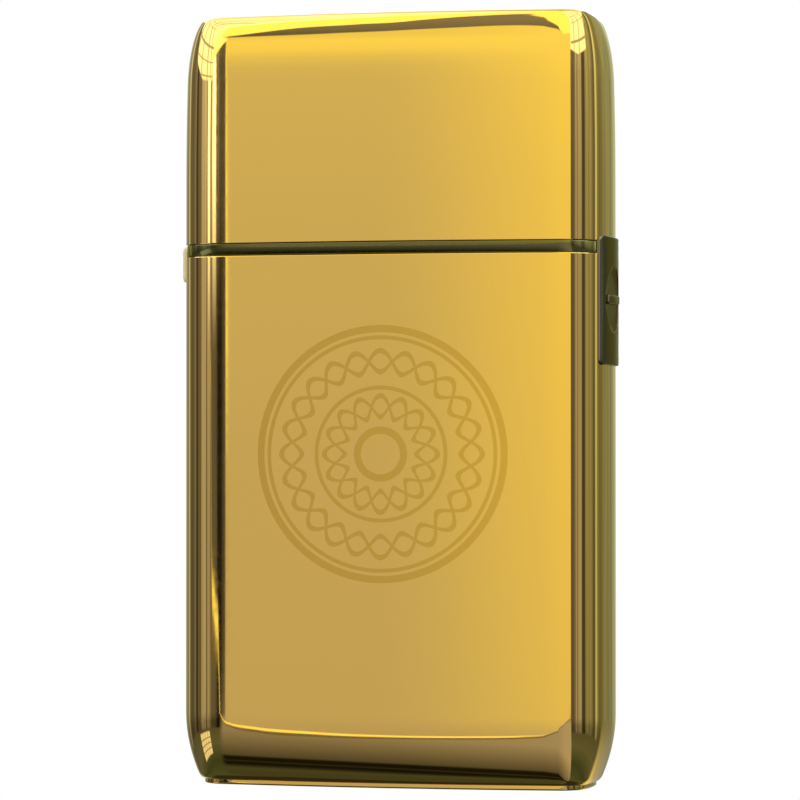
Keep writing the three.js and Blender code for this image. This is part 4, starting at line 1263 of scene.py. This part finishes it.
def front_panel(room, colour):
    """A wide soft panel in front, brightest to the right and above, with a dark beam over it."""
    sides = room.within(-30.35, 36.5, 0.12, room.post)
    left = room.upward([(-18, (0.52, 0.49, 0.78)), (-8, (0.57, 0.54, 0.80)), (0, (0.60, 0.58, 0.82)),
                        (4, (0.67, 0.64, 0.82)), (14, (0.74, 0.71, 0.77)), (19, (0.85, 0.82, 0.70)),
                        (24, (1.03, 0.98, 0.66)), (30, (1.08, 1.03, 0.66)), (34, (0.95, 0.92, 0.64))])
    right = room.upward([(-18, (0.60, 0.58, 0.80)), (-8, (0.76, 0.72, 0.72)), (2, (0.93, 0.86, 0.62)),
                         (10, (1.05, 0.98, 0.62)), (30, (1.10, 1.05, 0.70))])
    panel = room.mix(room.spread(room.turn, -16.0, 9.0, 0.0, 1.0, True), left, right)
    foot = room.curve(-38.0, 38.0, [(-38, 1), (-36.2, -1.4), (-33.6, -2.3), (-32.4, -3.2), (-31.4, -8),
                                    (-30, -12), (-27, -15), (-21,
                                                             -17.4), (-14, -18.7), (-6, -18.7), (-1, -18),
                                    (2, -16.6), (5, -14), (9, -11), (20, -7.6), (30, -5.2), (38, -4.3)])
    colour = near_ground(room, colour)
    colour = room.lay(colour, room.times(sides, room.over(foot, 0.3)), panel)
    depth = room.math("MAXIMUM", room.times(room.rise, -0.3), 1.0)
    from_foot = room.math("DIVIDE", room.math("SUBTRACT", room.rise, foot), depth)
    from_foot = room.times(from_foot, room.spread(room.turn, -30.0, -8.0, 0.45, 1.0, True))
    edge_line = room.within(-0.08, 0.14, 0.05, from_foot)
    shining = room.within(-37.0, 1.0, 4.0)
    colour = room.lay(colour, room.times(edge_line, shining), (1.3, 1.22, 0.8))
    shade_line = room.within(-0.28, -0.12, 0.04, from_foot)
    reach = room.within(-37.0, 36.5, 0.3, room.post)
    colour = room.lay(colour, room.times(shade_line, reach), (0.2, 0.18, 0.24))
    rim = room.times(room.within(-30.3, -30.0, 0.06, room.post), room.over(0.5, 1.5))
    colour = room.lay(colour, rim, (1.15, 1.1, 0.9))
    return top_beam(room, colour)


def near_ground(room, colour):
    """The ground in front, brownish and darker the nearer it is, with black strips close by."""
    slant = room.math("ADD", room.rise, room.times(room.turn, 0.3))
    share = room.spread(slant, -90.0, 90.0)
    stops = [(-56, (0.06, 0.07, 0.09)), (-52, (0.07, 0.08, 0.1)), (-49.5, (0.01, 0.01, 0.01)),
             (-47.2, (0.01, 0.01, 0.01)), (-46.9, (0.09, 0.09, 0.12)), (-46.5, (0.01, 0.01, 0.01)),
             (-44, (0.01, 0.01, 0.01)), (-43, (0.09, 0.09, 0.15)), (-36, (0.17, 0.165, 0.3)),
             (-24, (0.32, 0.31, 0.62))]
    strips = room.ramp(share, [((rise + 90) / 180, colour) for rise, colour in stops])
    rightward = room.spread(room.turn, -15.0, 25.0, 1.0, 1.45)
    strips = room.mix(1.0, strips, rightward, "MULTIPLY")
    low = room.without(room.over(-5.0, 3.0))
    return room.lay(colour, room.times(room.within(-31.5, 37.0, 0.8, room.post), low), strips)


def top_beam(room, colour):
    beam_foot = room.curve(-40.0, 20.0, [(-40, 34), (-34, 34.5), (-24, 36.3), (-16, 38.5), (-9, 41.5),
                                         (-3, 43),
                                         (1, 41), (5, 38), (12, 36), (17, 35), (20, 34)])
    beam_top = room.curve(-40.0, 20.0, [(-40, 33), (-34.5, 37), (-31, 44), (-25, 48.5), (-20.5, 53),
                                        (-18, 69),
                                        (-14, 72), (-10.5, 69.5), (-1, 55.5), (4, 44), (9, 38.5), (13, 36),
                                        (17, 34.8), (20, 33)])
    sides = room.within(-32.0, 36.5, 0.4, room.post)
    lamp = room.times(room.over(beam_top, 1.0), sides)
    colour = room.lay(colour, lamp, LAMP_LIGHT)
    over_foot = room.over(beam_foot, 0.8)
    beam = room.times(room.math("SUBTRACT", over_foot, room.over(beam_top, 1.0)), sides)
    shade = room.upward([(36, (0.14, 0.14, 0.28)), (41, (0.21, 0.21, 0.4)), (55, (0.28, 0.27, 0.52))])
    return room.lay(colour, beam, shade)


def studio_world():
    """A plain soft-lit room, white to the camera and seen only in reflections."""
    world = bpy.data.worlds.new("studio")
    bpy.context.scene.world = world
    world.use_nodes = True
    room = Room(world.node_tree)
    colour = room_behind(room, front_panel(room, low_window(room, room_colour(room))))
    paths = room.add("ShaderNodeLightPath").outputs
    soft_light = room.upward([(-90, (0.3, 0.3, 0.28)), (0, (0.75, 0.74, 0.7)), (90, (1.15, 1.12, 1.05))])
    background = room.add("ShaderNodeBackground")
    room.link(room.mix(paths["Is Diffuse Ray"], colour, soft_light), background.inputs[0])
    backdrop = room.add("ShaderNodeBackground")
    backdrop.inputs[0].default_value = (1, 1, 1, 1)
    seen = paths["Is Camera Ray"]
    chosen = room.add("ShaderNodeMixShader")
    room.link(seen, chosen.inputs[0])
    room.link(background.outputs[0], chosen.inputs[1])
    room.link(backdrop.outputs[0], chosen.inputs[2])
    output = room.add("ShaderNodeOutputWorld")
    room.link(chosen.outputs[0], output.inputs[0])


def studio_floor():
    """A plain white floor for the camera. Reflections see the room below it instead."""
    size = 1.5
    mesh = bpy.data.meshes.new("floor")
    corners = [(-size, -size, 0), (size, -size, 0), (size, size, 0), (-size, size, 0)]
    mesh.from_pydata([(x, y, -0.1 * MM) for x, y, _ in corners], [], [(0, 1, 2, 3)])
    floor = bpy.data.objects.new("floor", mesh)
    bpy.context.scene.collection.objects.link(floor)
    material = bpy.data.materials.new("floor_white")
    material.use_nodes = True
    write = Nodes(material.node_tree)
    glow = write.add("ShaderNodeEmission")
    output = write.add("ShaderNodeOutputMaterial")
    write.link(glow.outputs[0], output.inputs[0])
    mesh.materials.append(material)
    floor.visible_glossy = False
    floor.visible_diffuse = False
    floor.visible_shadow = False


def studio_camera():
    """Level view from a little to the switch side, at just under half height."""
    azimuth, distance, height = math.radians(14), 560 * MM, 45 * MM
    data = bpy.data.cameras.new("camera")
    camera = bpy.data.objects.new("camera", data)
    bpy.context.scene.collection.objects.link(camera)
    bpy.context.scene.camera = camera
    data.sensor_width = 36
    data.lens = 187
    data.clip_start, data.clip_end = 0.01, 20
    camera.location = (distance * math.sin(azimuth), -distance * math.cos(azimuth), height)
    pitch = math.radians(0.68)
    camera.rotation_euler = (math.pi / 2 + pitch, 0, azimuth)


studio_world()
studio_floor()
studio_camera()
bpy.context.scene.view_settings.view_transform = "Standard"
